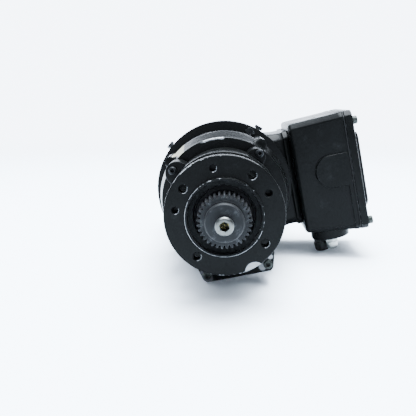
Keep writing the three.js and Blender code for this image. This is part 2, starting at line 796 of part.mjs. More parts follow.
// A lid with a raised middle and low corners, where its four screws stand.
function terminalCover() {
  const { front, ledge, crown } = COVER;
  const { front: near, back: far, bottom, top, corner } = BOX;
  const edge = (x, inset, radius, { side, bottom: low, top: high } = { side: 0, bottom: 0, top: 0 }) =>
    roundedRing(
      x,
      [near + side + inset, far - side - inset],
      [bottom + low + inset, top - high - inset],
      radius,
    );
  const plate = loft([
    edge(front, 0, corner),
    edge(ledge - 1.5, 0, corner),
    edge(ledge, 1.5, corner - 1),
  ]);
  const middle = loft([
    edge(front + 2, 0, 10, PLATEAU),
    edge(crown - 2, 1.5, 9, PLATEAU),
    edge(crown, 4, 7, PLATEAU),
  ]);
  const hollow = loft([edge(front - 1, 4, 6, PLATEAU), edge(crown - 4, 5, 6, PLATEAU)]);
  return cut(join(plate, middle), hollow, ...screwHoles(front - 5, crown + 5));
}

// Six terminal studs stand on the block in two rows.
function terminalBlock() {
  const floor = BOX.inner + BOX.wall + GAP;
  const studs = [-18, 0, 18].flatMap((z) =>
    [248, 266].map((y) => alongX(2.5, floor + 5, floor + 22, y, z, 6)),
  );
  return join(block([floor, floor + 9], [240, 274], [-28, 28]), ...studs);
}

// The two fittings stand on the entry boss. They are drawn along y, with the boss's face at
// y = 0 and the outer end towards -y.
function glandBody() {
  const { thread, flats, bore, hex } = GLAND;
  const body = join(hexagon(flats, -hex, -GAP), cylinder(thread, -GAP - 1, 17));
  return cut(body, cylinder(bore, -20, 30));
}

function glandNut() {
  const { bore, hex, end } = GLAND;
  const profile = [
    [bore, -end],
    [8, -end],
    [9.7, -end + 2.4],
    [10, -hex - GAP],
    [bore, -hex - GAP],
  ];
  return lathe(profile, SHAFT_SIDES);
}

const glandSeal = () => tube(GLAND.sealBore, GLAND.bore - 0.9, -GLAND.end + 1, -1, SMALL_SIDES);

function blankingPlug() {
  const { thread, flats } = BLANKING_PLUG;
  const profile = [
    [0, -15.5],
    [4, -15],
    [6.7, -13],
    [7.8, -10],
    [7.8, -4],
    [0, -4],
  ];
  const dome = lathe(profile, SHAFT_SIDES);
  return join(hexagon(flats, -5, -GAP), dome, cylinder(thread, -GAP - 1, 14));
}

// ---------------------------------------------------------------- materials

const material = (color, roughness, metalness) =>
  new THREE.MeshStandardMaterial({ color, roughness, metalness });

const blackPaint = material(0x141719, 0.32, 0.1);
const blackSteel = material(0x2a2c2e, 0.5, 0.7);
const groundSteel = material(0x9a9c9e, 0.35, 1);
const gearSteel = material(0x5c6166, 0.5, 0.9);
const phosphate = material(0x4b5055, 0.6, 0.6);
const zinc = material(0xc9ccce, 0.25, 1);
const rubber = material(0x0d0d0d, 0.8, 0);
const copper = material(0x9a5a2c, 0.45, 0.8);
const laminations = material(0x6d7073, 0.55, 0.8);
const blackPlastic = material(0x111214, 0.5, 0);
const moulding = material(0x2b2522, 0.5, 0);

// ---------------------------------------------------------------- assembly

const unit = new THREE.Group();
unit.rotation.y = -ROLL;

function add(name, geometry, look, parent = unit) {
  const mesh = new THREE.Mesh(geometry, look);
  mesh.name = name;
  parent.add(mesh);
  return mesh;
}

// Gearbox
add("output_housing", outputHousing(), blackPaint);
add("output_seal", lipSeal(OUTPUT_SEAL, SHAFT.sealRadius), rubber);
add("front_output_bearing", bearing(FRONT_BEARING), groundSteel);
add("rear_output_bearing", bearing(REAR_BEARING), groundSteel);
add("ring_gear", ringGear(), gearSteel);
add("ring_gear_housing", ringGearHousing(), blackPaint);
add("motor_adapter", motorAdapter(), blackPaint);

add("output_shaft", outputShaft(), groundSteel);
add("output_pinion", outputPinion(), phosphate);
add("pinion_clamp_washer", clampWasher(), phosphate);
add("screw_spacer", spacerSleeve(), zinc);
const pinionScrewFront = SPACER.front - GAP - PINION_SCREW.headHeight;
const pinionScrew = socketScrew({ ...PINION_SCREW, length: PINION_SCREW.end - pinionScrewFront });
add("pinion_screw", pinionScrew, zinc).position.y = pinionScrewFront;

[
  ["first", STAGE_ONE],
  ["second", STAGE_TWO],
].forEach(([stageName, stage]) => {
  for (let i = 0; i < STAGE.planets; i += 1) {
    const place = new THREE.Group();
    place.position.copy(polar(planetAngle(i), ORBIT));
    unit.add(place);
    add(`${stageName}_planet_gear_${i + 1}`, planetGear(i, stage), gearSteel, place);
    add(`${stageName}_planet_pin_${i + 1}`, planetPin(stage), groundSteel, place);
  }
});
add("first_planet_carrier", firstStageCarrier(), gearSteel);
add("first_sun_gear", firstSunGear(), gearSteel);
add("second_sun_gear", secondSunGear(), gearSteel);

// Motor
add("motor_shaft_seal", lipSeal(MOTOR_SEAL, ROTOR_SHAFT.sealRadius), rubber);
add("front_motor_bearing", bearing(MOTOR_BEARING), groundSteel);
add("rear_motor_bearing", bearing(MOTOR_REAR_BEARING), groundSteel);
add("stator_frame", statorFrame(), blackPaint);
add("stator_core", statorCore(), laminations);
add("stator_winding", statorWinding(), copper);
add("rear_end_shield", rearEndShield(), blackPaint);
add("rotor_shaft", rotorShaft(), groundSteel);
add("rotor_core", rotorCore(), laminations);
add("cooling_fan", coolingFan(), blackPlastic);
add("fan_cowl", fanCowl(), blackPaint);

// Terminal box
add("terminal_box", terminalBox(), blackPaint);
add("terminal_cover", terminalCover(), blackPaint);
add("terminal_cover_gasket", coverGasket(), rubber);
add("terminal_block", terminalBlock(), moulding);
coverScrewPlaces().forEach(([y, z], i) => {
  const mesh = add(`cover_screw_${i + 1}`, socketScrew(COVER_SCREW_SIZE, SMALL_SIDES), zinc);
  mesh.rotation.z = Math.PI / 2;
  mesh.position.set(COVER.ledge + GAP + COVER_SCREW_SIZE.headHeight, y, z);
});

function fitting(place) {
  const group = new THREE.Group();
  group.rotation.x = Math.PI / 2;
  group.position.set(place.x, place.y, ENTRY_BOSS.bottom);
  unit.add(group);
  return group;
}
const gland = fitting(GLAND);
add("cable_gland_body", glandBody(), blackPlastic, gland);
add("cable_gland_nut", glandNut(), blackPlastic, gland);
add("cable_gland_seal", glandSeal(), rubber, gland);
add("blanking_plug", blankingPlug(), zinc, fitting(BLANKING_PLUG));

// Screws in the castings
EAR.sizes.forEach(({ angle }, i) => {
  const screw = socketScrew({ ...M5, length: 42 }, SMALL_SIDES);
  const at = polar(angle, EAR.screwCircle, EAR.front - GAP - M5.headHeight);
  add(`housing_screw_${i + 1}`, screw, blackSteel).position.copy(at);
});
[-1, 1].forEach((side, i) => {
  const screw = add(`foot_screw_${i + 1}`, socketScrew({ ...M6, length: 18 }, SMALL_SIDES), zinc);
  screw.position.set(side * FOOT.screwX, FOOT.front - GAP - M6.headHeight, FOOT.screwZ);
});
ADAPTER_BOLTS.angles.forEach((angle, i) => {
  const bolt = hexScrew({ ...M6_BOLT, flats: ADAPTER_BOLTS.flats, length: 17 });
  const at = polar(angle, ADAPTER_BOLTS.circle, ADAPTER.front - GAP - M6_BOLT.headHeight);
  add(`adapter_bolt_${i + 1}`, bolt, blackSteel).position.copy(at);
});
RIM_BOLTS.angles.forEach((angle, i) => {
  const spoke = new THREE.Group();
  spoke.rotation.y = -THREE.MathUtils.degToRad(angle);
  unit.add(spoke);
  const bolt = hexScrew({ ...M6_BOLT, flats: RIM_BOLTS.flats, length: 14 });
  const mesh = add(`rim_bolt_${i + 1}`, bolt, blackSteel, spoke);
  const middle = (ADAPTER.front + ADAPTER.back) / 2;
  mesh.rotation.z = Math.PI / 2;
  mesh.position.set(ADAPTER.radius + GAP + M6_BOLT.headHeight, middle, 0);
});

// The origin is under the middle of the whole unit, on the surface that it lies on.
const group = new THREE.Group();
group.add(unit);
const bounds = new THREE.Box3().setFromObject(group, true);
const middle = bounds.getCenter(new THREE.Vector3());
unit.position.set(-middle.x, -middle.y, -bounds.min.z);

export default group;
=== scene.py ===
"""Looks of a planetary geared motor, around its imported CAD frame.

Shapes are drawn in millimetres in the unit's own frame: x runs from the shaft axis to the
terminal box, y runs back along the shaft from the mounting face, and z is up before the unit is
rolled. UNIT carries them into the row frame, in metres.
"""

import json
import math

import bmesh
import bpy
from mathutils import Matrix, Vector


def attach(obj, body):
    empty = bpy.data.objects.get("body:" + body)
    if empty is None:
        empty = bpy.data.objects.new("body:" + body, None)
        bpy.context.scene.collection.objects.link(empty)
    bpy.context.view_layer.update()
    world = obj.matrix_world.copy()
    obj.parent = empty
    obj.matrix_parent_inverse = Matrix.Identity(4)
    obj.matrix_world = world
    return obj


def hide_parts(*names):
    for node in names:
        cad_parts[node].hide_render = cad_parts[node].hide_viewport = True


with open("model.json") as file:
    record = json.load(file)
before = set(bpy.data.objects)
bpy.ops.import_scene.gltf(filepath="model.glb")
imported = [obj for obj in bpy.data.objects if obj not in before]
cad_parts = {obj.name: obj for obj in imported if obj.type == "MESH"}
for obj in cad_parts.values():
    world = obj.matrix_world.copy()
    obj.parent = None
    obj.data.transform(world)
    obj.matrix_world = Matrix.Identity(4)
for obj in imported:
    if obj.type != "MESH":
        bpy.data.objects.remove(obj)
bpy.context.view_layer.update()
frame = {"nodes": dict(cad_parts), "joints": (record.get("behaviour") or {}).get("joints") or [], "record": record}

TAU = 2 * math.pi
shift = Matrix.Translation
JOINTS = {joint["name"]: joint for joint in frame["joints"]}
MOUNTS = {mount["name"]: mount for mount in frame["record"]["mounts"]}
SLOT_OF = {part["node"]: part["material_slot"] for part in frame["record"]["subparts"]}

# ---------- where the unit stands

SHAFT_AXIS = Vector(JOINTS["carrier_spin"]["pos_m"])
FLANGE_FACE = MOUNTS["output_flange_face"]["pos_m"][1]
FOOT_DOWN = Vector(MOUNTS["foot_pad_face"]["axis"])
ROLL = math.atan2(FOOT_DOWN.x, -FOOT_DOWN.z)
ORIGIN = Vector((SHAFT_AXIS.x, FLANGE_FACE, SHAFT_AXIS.z))
UNIT = shift(ORIGIN) @ Matrix.Rotation(-ROLL, 4, "Y") @ Matrix.Scale(0.001, 4)

# ---------- sizes, mm

FINE, ROUND, SMALL = 360, 144, 48  # steps around large castings, shafts and screws
GAP = 0.3

FLANGE = {"radius": 60, "thickness": 14, "rim": 38.7, "bore": 36.5, "height": 8.5}
BOLT_CIRCLE = 48.5
BOLT_HOLES = (4, (45, 135, 225, 315))  # radius and angles
SPARE_HOLES = (3.4, (17, 92, 162))
NECK_RADIUS, NECK_BACK = 46, 42
BODY_RADIUS, BODY_BACK = 60, 94.7
EARS = ((45, 10), (135, 13))  # angle and radius
EAR_CIRCLE, EAR_SCREW_CIRCLE = 61.5, 67.2
FOOT_FRONT = 66
FOOT_SCREWS = ((-34, -74), (34, -74))

RING_HOUSING = {"front": 95, "nose": 71.3, "flare": 76.5, "rear": 72, "back": 184.7}
ADAPTER = {"radius": 86.5, "front": 185, "back": 199}
ADAPTER_BOLTS = {"circle": 79.5, "flats": 10, "angles": (55, 140, 230, 310)}
RIM_BOLTS = {"flats": 9, "angles": (49.5, 130)}
STATOR = {"bore": 65.9, "wall": 70.5, "fin": 76, "fins": 28, "front": 199.3, "back": 340}
PEDESTAL = {"y": (200, 286), "z": (-68, 54)}
BOX = {"inner": 93.3, "outer": 162, "y": (178, 288), "z": (-86, 67), "wall": 5.5}
BOX_DRAFT = (2, 7, 3.5)  # how far the floor's sides, bottom and top lie inside the mouth's
COVER = {"front": 163.9, "ledge": 174, "crown": 181}
PLATEAU = (15, 25, 28)  # from the cover's sides, bottom and top to its raised middle
COVER_SCREWS = {"inset": 9.5, "z": (53.5, -77), "pillar": 7.5}
PLATE_HALF = (24, 32)
PAD = {"x": 138, "z": -4, "radius": 21, "bottom": -25, "top": 17}
EDGE_STRIP = {"inner": 156, "bottom": -80, "top": -20}
ENTRY = {"x": 127.5, "y": 216, "radius": 25, "bottom": -95}
GLAND = {"x": 114.5, "y": 220, "flats": 18, "thread": 8, "bore": 6.5}
PLUG = {"x": 126, "y": 204, "flats": 15, "thread": 6}
EAR_SCREW = {"radius": 4.25, "height": 5, "shank": 2.5, "length": 42, "socket": 4, "steps": SMALL}
LUG_SCREW = {"radius": 5, "height": 5, "shank": 3, "length": 18, "socket": 5, "steps": SMALL}
COVER_SCREW = {"radius": 5.15, "height": 6, "shank": 2.6, "length": 24, "socket": 5, "steps": 72}
PINION_SCREW = {"radius": 8.7, "height": 5, "shank": 5, "length": 54, "socket": 8}
PINION_SCREW_FRONT = -48.3
BOLT_HEAD, BOLT_SHANK = 4, 3
PINION = {"teeth": 33, "module": 1.5, "front": -26, "back": -4, "bore": 12.4}


# ---------- mesh helpers

def polar(angle, radius, y=0.0):
    turn = math.radians(angle)
    return Vector((radius * math.cos(turn), y, radius * math.sin(turn)))


def new_object(name, data):
    made = bpy.data.objects.new(name, data)
    bpy.context.scene.collection.objects.link(made)
    return made


def solid(points, faces):
    """A closed mesh object, with its faces pointing out."""
    mesh = bpy.data.meshes.new("piece")
    shape = bmesh.new()
    corners = [shape.verts.new(point) for point in points]
    for face in faces:
        shape.faces.new([corners[i] for i in face])
    bmesh.ops.remove_doubles(shape, verts=shape.verts, dist=1e-4)
    bmesh.ops.dissolve_degenerate(shape, edges=shape.edges, dist=1e-5)
    bmesh.ops.recalc_face_normals(shape, faces=shape.faces)
    shape.to_mesh(mesh)
    shape.free()
    return new_object("piece", mesh)


def softened(corners, arc=4):
    """A closed outline, from corners of (across, along, rounding)."""
    outline = []
    for i, (across, along, rounding) in enumerate(corners):
        here = Vector((across, along))
        if rounding == 0:
            outline.append((across, along))
            continue
        before = Vector(corners[i - 1][:2]) - here
        after = Vector(corners[(i + 1) % len(corners)][:2]) - here
        reach = min(rounding, 0.48 * before.length, 0.48 * after.length)
        start = here + before.normalized() * reach if before.length else here
        end = here + after.normalized() * reach if after.length else here
        for k in range(arc + 1):
            t = k / arc
            point = start * (1 - t) ** 2 + here * 2 * t * (1 - t) + end * t * t
            outline.append((point.x, point.y))
    return outline


def spun(columns):
    """A closed solid about y, from columns of (angle in radians, outline of (radius, y))."""
    count, steps = len(columns[0][1]), len(columns)
    points = [
        (radius * math.cos(angle), y, radius * math.sin(angle))
        for angle, outline in columns
        for radius, y in outline
    ]
    faces = []
    for i in range(steps):
        here, there = i * count, (i + 1) % steps * count
        for j in range(count):
            k = (j + 1) % count
            faces.append((here + j, here + k, there + k, there + j))
    return solid(points, faces)


def turned(outline, steps=ROUND):
    """A turned solid. outline is a list of (radius, y), or a function of the angle giving one."""
    at = outline if callable(outline) else lambda angle: outline
    return spun([(TAU * i / steps, at(TAU * i / steps)) for i in range(steps)])


def loft(rings):
    """A solid through rings with the same number of points, with a flat cap on each end."""
    count = len(rings[0])
    points = [point for ring in rings for point in ring]
    faces = [tuple(range(count)), tuple(range(len(points) - count, len(points)))]
    for i in range(count):
        k = (i + 1) % count
        for ring in range(len(rings) - 1):
            low = ring * count
            faces.append((low + i, low + k, low + count + k, low + count + i))
    return solid(points, faces)


def rod(radius, front, back, at=(0, 0), steps=SMALL, flare=0.0):
    """A cylinder along y, used to cut a hole. flare widens it in front of y = 0."""
    outline = [(0, front), (radius + flare, front), (radius, back), (0, back)]
    if flare:
        outline[2:2] = [(radius + flare, 0), (radius, flare)]
    piece = turned(outline, steps)
    piece.data.transform(shift((at[0], 0, at[1])))
    return piece


def plate(outline, front, back):
    """A flat plate between front and back on y, from an outline of (x, z)."""
    return loft([[(x, y, z) for x, z in outline] for y in (front, back)])


def moved(piece, matrix):
    piece.data.transform(matrix)
    return piece


def quarter(axis, sign=1):
    return Matrix.Rotation(sign * math.pi / 2, 4, axis)


def combined(piece, tools, operation):
    """piece after adding or cutting away the tools, which are used up."""
    for tool in tools:
        modifier = piece.modifiers.new("combine", "BOOLEAN")
        modifier.object = tool
        modifier.operation = operation
        modifier.solver = "MANIFOLD"
    depsgraph = bpy.context.evaluated_depsgraph_get()
    result = bpy.data.meshes.new_from_object(piece.evaluated_get(depsgraph))
    piece.modifiers.clear()
    piece.data = result
    for tool in tools:
        bpy.data.objects.remove(tool)
    return piece


def joined(piece, *tools):
    return combined(piece, tools, "UNION")


def cut(piece, *tools):
    return combined(piece, tools, "DIFFERENCE")


def place(piece, node=None, look=None, body="housing", at=None, crease=32, slot=None):
    """Puts a piece into the row frame, on its body and in the place of its node.

    The rating plate is the one piece without a node."""
    slot = slot or SLOT_OF[node]
    piece.name = piece.data.name = f"fine_{node}" if node else "rating_plate"
    piece.data.transform(UNIT @ at if at else UNIT)
    piece.data.materials.clear()
    piece.data.materials.append(look or LOOKS[slot])
    piece.data.shade_smooth()
    piece.data.set_sharp_from_angle(angle=math.radians(crease))
    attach(piece, body)
    if node:
        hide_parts(node)


def blend_max(a, b, width):
    """The larger of a and b, with a soft join where they meet."""
    share = max(width - abs(a - b), 0) / width
    return max(a, b) + share * share * width / 4


def soft_step(low, high, value):
    t = min(max((value - low) / (high - low), 0), 1)
    return t * t * (3 - 2 * t)


def boss_reach(angle, boss_angle, circle, size):
    """How far a round boss on a bolt circle reaches from the axis at an angle in radians."""
    turn = abs((angle - math.radians(boss_angle) + math.pi) % TAU - math.pi)
    edge = math.asin(size / circle)
    if turn < edge:
        return circle * math.cos(turn) + math.sqrt(size**2 - (circle * math.sin(turn)) ** 2)
    return circle * math.cos(edge) - 250 * (turn - edge)


def outline_reach(angle, outline):
    """How far a flat outline of (x, z) points reaches from the axis at an angle in radians."""
    along = Vector((math.cos(angle), math.sin(angle)))
    reach = 0.0
    for i, end in enumerate(outline):
        start = Vector(outline[i - 1])
        side = Vector(end) - start
        crossing = along.x * side.y - along.y * side.x
        if abs(crossing) < 1e-9:
            continue
        distance = (start.x * side.y - start.y * side.x) / crossing
        share = (start.x * along.y - start.y * along.x) / crossing
        if 0 <= share <= 1:
            reach = max(reach, distance)
    return reach


def hex_reach(angle, flats):
    return flats / 2 / math.cos((angle + math.pi / 6) % (math.pi / 3) - math.pi / 6)


# ---------- materials

class Field:
    """A value that varies over a surface, with arithmetic that adds Math nodes."""

    def __init__(self, nodes, socket):
        self.nodes, self.socket = nodes, socket

    def __add__(self, other):
        return self.nodes.math("ADD", self, other)

    def __sub__(self, other):
        return self.nodes.math("SUBTRACT", self, other)

    def __mul__(self, other):
        return self.nodes.math("MULTIPLY", self, other)

    def over(self, low, high):
        """0 below low and 1 above high, with a soft step between. high may be below low."""
        return self.nodes.step(self, low, high)

    def either(self, other):
        return self.nodes.math("MAXIMUM", self, other)


class Nodes:
    """A node tree, with short calls that add nodes to it."""

    def __init__(self, tree):
        self.tree = tree

    def node(self, kind, **inputs):
        made = self.tree.nodes.new(kind)
        for name, value in inputs.items():
            self.feed(made.inputs[name.replace("_", " ")], value)
        return made

    def feed(self, socket, value):
        if isinstance(value, Field):
            value = value.socket
        if isinstance(value, bpy.types.NodeSocket):
            self.tree.links.new(value, socket)
        else:
            socket.default_value = value

    def math(self, operation, *values):
        made = self.node("ShaderNodeMath")
        made.operation = operation
        for socket, value in zip(made.inputs, values):
            self.feed(socket, value)
        return Field(self, made.outputs[0])

    def step(self, value, low, high, first=0.0, last=1.0):
        """A soft change from first to last while value goes from low to high."""
        sign = 1 if high > low else -1
        value = value * sign if sign < 0 else value
        ends = {"From_Min": low * sign, "From_Max": high * sign, "To_Min": first, "To_Max": last}
        made = self.node("ShaderNodeMapRange", Value=value, **ends)
        made.interpolation_type = "SMOOTHSTEP"
        return Field(self, made.outputs["Result"])

    def split(self, vector):
        parts = self.node("ShaderNodeSeparateXYZ", Vector=vector)
        return (Field(self, parts.outputs[axis]) for axis in "XYZ")


class Look(Nodes):
    """A node material. Coordinates are the unit's own, in millimetres."""

    def __init__(self, name, colour=(0.5, 0.5, 0.5), roughness=0.5, metallic=0.0, **sockets):
        self.material = bpy.data.materials.new(name)
        self.material.use_nodes = True
        self.material.diffuse_color = (*colour, 1)
        super().__init__(self.material.node_tree)
        self.shader = self.tree.nodes["Principled BSDF"]
        self.set(Base_Color=(*colour, 1), Roughness=roughness, Metallic=metallic, **sockets)
        mapping = self.node(
            "ShaderNodeMapping",
            Vector=self.node("ShaderNodeTexCoord").outputs["Object"],
            Scale=(1000, 1000, 1000),
            Rotation=(0, ROLL, 0),
            Location=Matrix.Rotation(ROLL, 3, "Y") @ ORIGIN * -1000,
        )
        self.where = mapping.outputs["Vector"]
        self.x, self.y, self.z = self.split(self.where)

    def radius(self):
        return self.math("SQRT", self.x * self.x + self.z * self.z)

    def distance(self, x, z):
        """The distance across the shaft's direction from a point."""
        dx, dz = self.x - x, self.z - z
        return self.math("SQRT", dx * dx + dz * dz)

    def noise(self, size, detail=2.0, roughness=0.5, vector=None):
        """Smooth noise from 0 to 1, with blobs about size millimetres across."""
        made = self.node("ShaderNodeTexNoise", Vector=vector or self.where, Scale=1 / size)
        self.feed(made.inputs["Detail"], detail)
        self.feed(made.inputs["Roughness"], roughness)
        return Field(self, made.outputs["Fac"])

    def scratches(self, size, tilt, width=0.02):
        """Fine straight scratches that run across the shaft, at a tilt in radians."""
        turned_where = self.node("ShaderNodeVectorRotate", Vector=self.where, Angle=tilt)
        turned_where.rotation_type = "Y_AXIS"
        stretch = self.node("ShaderNodeMapping", Vector=turned_where.outputs["Vector"])
        stretch.inputs["Scale"].default_value = (0.05, 0.3, 1.0)
        lines = self.noise(size, 3, 0.6, stretch.outputs["Vector"])
        return self.math("ABSOLUTE", lines - 0.5).over(width, 0)

    def edges(self, size):
        """How sharply the surface bends within size millimetres: 0 on a flat face."""
        bevel = self.node("ShaderNodeBevel", Radius=size / 1000)
        bevel.samples = 6
        flat = self.node("ShaderNodeNewGeometry").outputs["Normal"]
        dot = self.node("ShaderNodeVectorMath")
        dot.operation = "DOT_PRODUCT"
        self.feed(dot.inputs[0], bevel.outputs["Normal"])
        self.feed(dot.inputs[1], flat)
        return self.math("SUBTRACT", 1.0, Field(self, dot.outputs["Value"]))

    def mix(self, share, first, second):
        """A mix of two numbers."""
        made = self.node("ShaderNodeMix", Factor=share, A=first, B=second)
        return Field(self, made.outputs["Result"])

    def tint(self, share, first, second):
        """A mix of two colours."""
        made = self.node("ShaderNodeMix", Factor=share)
        made.data_type = "RGBA"
        colours = [socket for socket in made.inputs if socket.type == "RGBA"]
        for socket, colour in zip(colours, (first, second)):
            self.feed(socket, (*colour, 1) if isinstance(colour, tuple) else colour)
        return next(socket for socket in made.outputs if socket.type == "RGBA")

    def bump(self, height, depth):
        """Raises the surface by height (0 to 1) times depth, in millimetres."""
        made = self.node("ShaderNodeBump", Height=height, Distance=depth / 1000)
        if self.shader.inputs["Normal"].is_linked:
            self.feed(made.inputs["Normal"], self.shader.inputs["Normal"].links[0].from_socket)
        self.feed(self.shader.inputs["Normal"], made.outputs["Normal"])

    def set(self, **sockets):
        for name, value in sockets.items():
            self.feed(self.shader.inputs[name.replace("_", " ")], value)


BLACK = (0.0012, 0.00135, 0.0013)


def enamel(name, wear_and_highlights=None, cream=None, edge_wear=0.0):
    """Gloss black enamel over cast iron. The two functions of the look say where it is bare, or where the pale
    filler under it shows; the flange's first one also holds painted highlights, drawn as bare metal."""
    look = Look(name, BLACK, 0.3, Specular_IOR_Level=0.035)
    cloudy = look.noise(24, 4)
    grain = look.noise(5, 4, 0.65)
    bend = look.edges(0.9)
    chipped = bend.over(0.06, 0.25) * (grain + edge_wear * 0.2).over(0.66, 0.70)
    bare = chipped.either(wear_and_highlights(look, grain)) if wear_and_highlights else chipped
    paint = look.tint(cloudy, BLACK, (0.0027, 0.003, 0.003))
    metal = look.tint(look.noise(2.5, 4, 0.7), (0.08, 0.085, 0.09), (0.30, 0.31, 0.32))
    if cream:
        pale = cream(look, grain)
        metal = look.tint(pale, metal, (0.24, 0.23, 0.17))
        bare = bare.either(pale)
    scuffs = look.scratches(1.5, 0.5).either(look.scratches(1.2, -0.7))
    scuffs = scuffs * look.noise(18, 2).over(0.62, 0.70)
    gloss = look.mix(cloudy, 0.16, 0.38)
    look.set(
        Base_Color=look.tint(bare, look.tint(scuffs * 0.3, paint, (0.02, 0.021, 0.022)), metal),
        Roughness=look.mix(bare, gloss, 0.45),
        Metallic=look.mix(bare, 0.0, 0.5),
    )
    look.bump(look.noise(1.6, 2), 0.05)
    look.bump(look.noise(9, 3), 0.22)
    look.bump(bare, -0.12)
    return look.material


def hole_rims(look, radius, angles):
    """Painted highlights: bright crescents on the lower right edge of the flange's holes, drawn as bare metal
    where light catches them.
    """
    crescents = None
    for angle in angles:
        spot = polar(angle, BOLT_CIRCLE)
        across, up = look.x - spot.x, look.z - spot.z
        ring = look.distance(spot.x, spot.z).over(radius + 0.85, radius + 0.65)
        crescent = ring * (across - up).over(radius * 0.5, radius * 0.9)
        crescents = crescents.either(crescent) if crescents else crescent
    return crescents * look.y.over(1.2, 0.7) * look.y.over(0.02, 0.08) * 0.65


def flange_wear(look, grain):
    """Bare metal on the pilot rim's edge, a ground flat low on the flange, the foot's lugs and chips low on the
    flange's edge. It also holds painted highlights drawn as bare metal: flecks along the flange's upper edge and
    crescents in its holes.
    """
    radius = look.radius()
    ragged = (grain - 0.5) * 1.6
    low_left = grain - (look.x + look.z) * 0.0035
    rim_edge = (radius + ragged * 0.4).over(38.15, 38.5) * look.y.over(-7.4, -8.0)
    rim_edge = rim_edge * low_left.over(0.38, 0.48)
    patch_at = polar(-72.5, 63.4)
    patch = (look.distance(patch_at.x, patch_at.z) + ragged).over(10.1, 9.6) * look.y.over(3, 2)
    depth = look.y - FOOT_FRONT
    lug_front = depth.over(1.4, 0.8) * depth.over(-1, -0.6)
    nick = (look.distance(38, -67) + ragged * 2).over(3.4, 2.6)
    left_lug = (look.distance(-34, -74) + ragged * 3).over(9.5, 8) * look.x.over(-28, -30)
    right_lug = (look.distance(28.5, -76) + ragged * 3).over(5.4, 4.2)
    lugs = ((nick * 0.8).either(right_lug * 0.5) + left_lug * 0.3) * lug_front
    step = (radius + ragged).over(59.2, 59.6) * look.y.over(2.2, 1.2)
    low = step * look.z.over(-50, -57) * grain.over(0.53, 0.58)
    # Painted highlight: bare metal flecks only on the upper arc of the flange's front edge, where the light falls.
    high = step * look.z.over(40, 50) * (grain - look.x * 0.004).over(0.56, 0.62)
    # Painted highlights: bright crescents in the bolt holes and the spare holes.
    hole_highlights = hole_rims(look, *BOLT_HOLES)
    spare = hole_rims(look, SPARE_HOLES[0], SPARE_HOLES[1][1:])
    return rim_edge.either(patch).either(lugs).either(low).either(high).either(hole_highlights).either(spare)


def bore_dust(look, grain):
    """A thin grey film inside the flange's bore."""
    return look.radius().over(37.4, 36.9) * look.y.over(40, 30) * (grain * 0.05 + 0.012)


def band_wear(look, grain):
    """Chips along the front edge of the flared band, on the upper side."""
    edge = (look.y + (grain - 0.5) * 5).over(99.3, 98.6)
    edge = edge * (look.radius() + (grain - 0.5) * 4).over(69.1, 69.7)
    chips = edge * look.x.over(14, 12) * look.x.over(-15, -9) * look.z.over(60, 64)
    return chips * (grain - look.x * 0.002).over(0.42, 0.46)


def band_cream(look, grain):
    """Pale filler where the enamel has come off the upper left of the band."""
    along = look.y.over(98, 100) * look.y.over(140, 134)
    ragged = look.x + (grain - 0.5) * 3
    side = ragged.over(-34.5, -35.2) * ragged.over(-50.5, -49.5)
    return along * side * (look.z + (grain - 0.5) * 3).over(57.5, 58.5)


def machined(name, light, dark, roughness, pitch=0.35):
    """Turned or ground steel with fine rings and scratches."""
    look = Look(name, light, roughness, 1.0)
    across, along = look.radius() * (1 / pitch), look.y * (1 / pitch)
    around = look.node("ShaderNodeCombineXYZ", X=across, Y=along)
    rings = look.noise(1.0, 2, 0.6, around.outputs["Vector"])
    cloudy = look.noise(12, 3)
    marks = look.scratches(1.2, 0.6).either(look.scratches(0.9, -0.9))
    marks = marks * look.noise(14, 2).over(0.45, 0.6)
    tone = look.tint(rings * 0.5 + cloudy * 0.5, dark, light)
    bright = tuple(min(1.0, value * 1.5) for value in light)
    look.set(
        Base_Color=look.tint(marks * 0.5, tone, bright),
        Roughness=look.mix(rings * 0.4 + cloudy * 0.6, roughness * 0.8, roughness * 1.35),
    )
    look.bump(rings, 0.012)
    look.bump(marks, -0.02)
    return look.material


def phosphated():
    """Dark grey phosphate with light edges on the teeth and handling scratches. The rubbed edges are painted more
    often lower down, a painted highlight that leaves the lower teeth lighter than the upper ones.
    """
    look = Look("phosphated_steel", (0.018, 0.020, 0.022), 0.5, 0.5, Specular_IOR_Level=0.12)
    crystals = look.noise(0.5, 3, 0.7)
    cloudy = look.noise(7, 3)
    grain = look.noise(2.2, 3, 0.6)
    marks = look.scratches(1.4, 0.4).either(look.scratches(1.1, 1.9))
    marks = marks * look.noise(9, 2).over(0.5, 0.62)
    # Rubbed edges, more of them lower down: a painted highlight on the lower teeth, with the upper teeth darker as
    # painted shade.
    rubbed = look.edges(0.6).over(0.05, 0.25) * (grain - look.z * 0.006).over(0.50, 0.65)
    mottled = cloudy * 0.7 + crystals * 0.3
    coat = look.tint(mottled, (0.0045, 0.0048, 0.0052), (0.0095, 0.0102, 0.011))
    wear_and_painted_light = rubbed.either(marks * 0.7)
    look.set(
        Base_Color=look.tint(wear_and_painted_light, coat, (0.06, 0.063, 0.067)),
        Roughness=look.mix(wear_and_painted_light, look.mix(crystals, 0.42, 0.6), 0.33),
        Metallic=look.mix(wear_and_painted_light, 0.5, 1.0),
    )
    look.bump(crystals, 0.02)
    look.bump(look.noise(3, 2), 0.05)
    return look.material


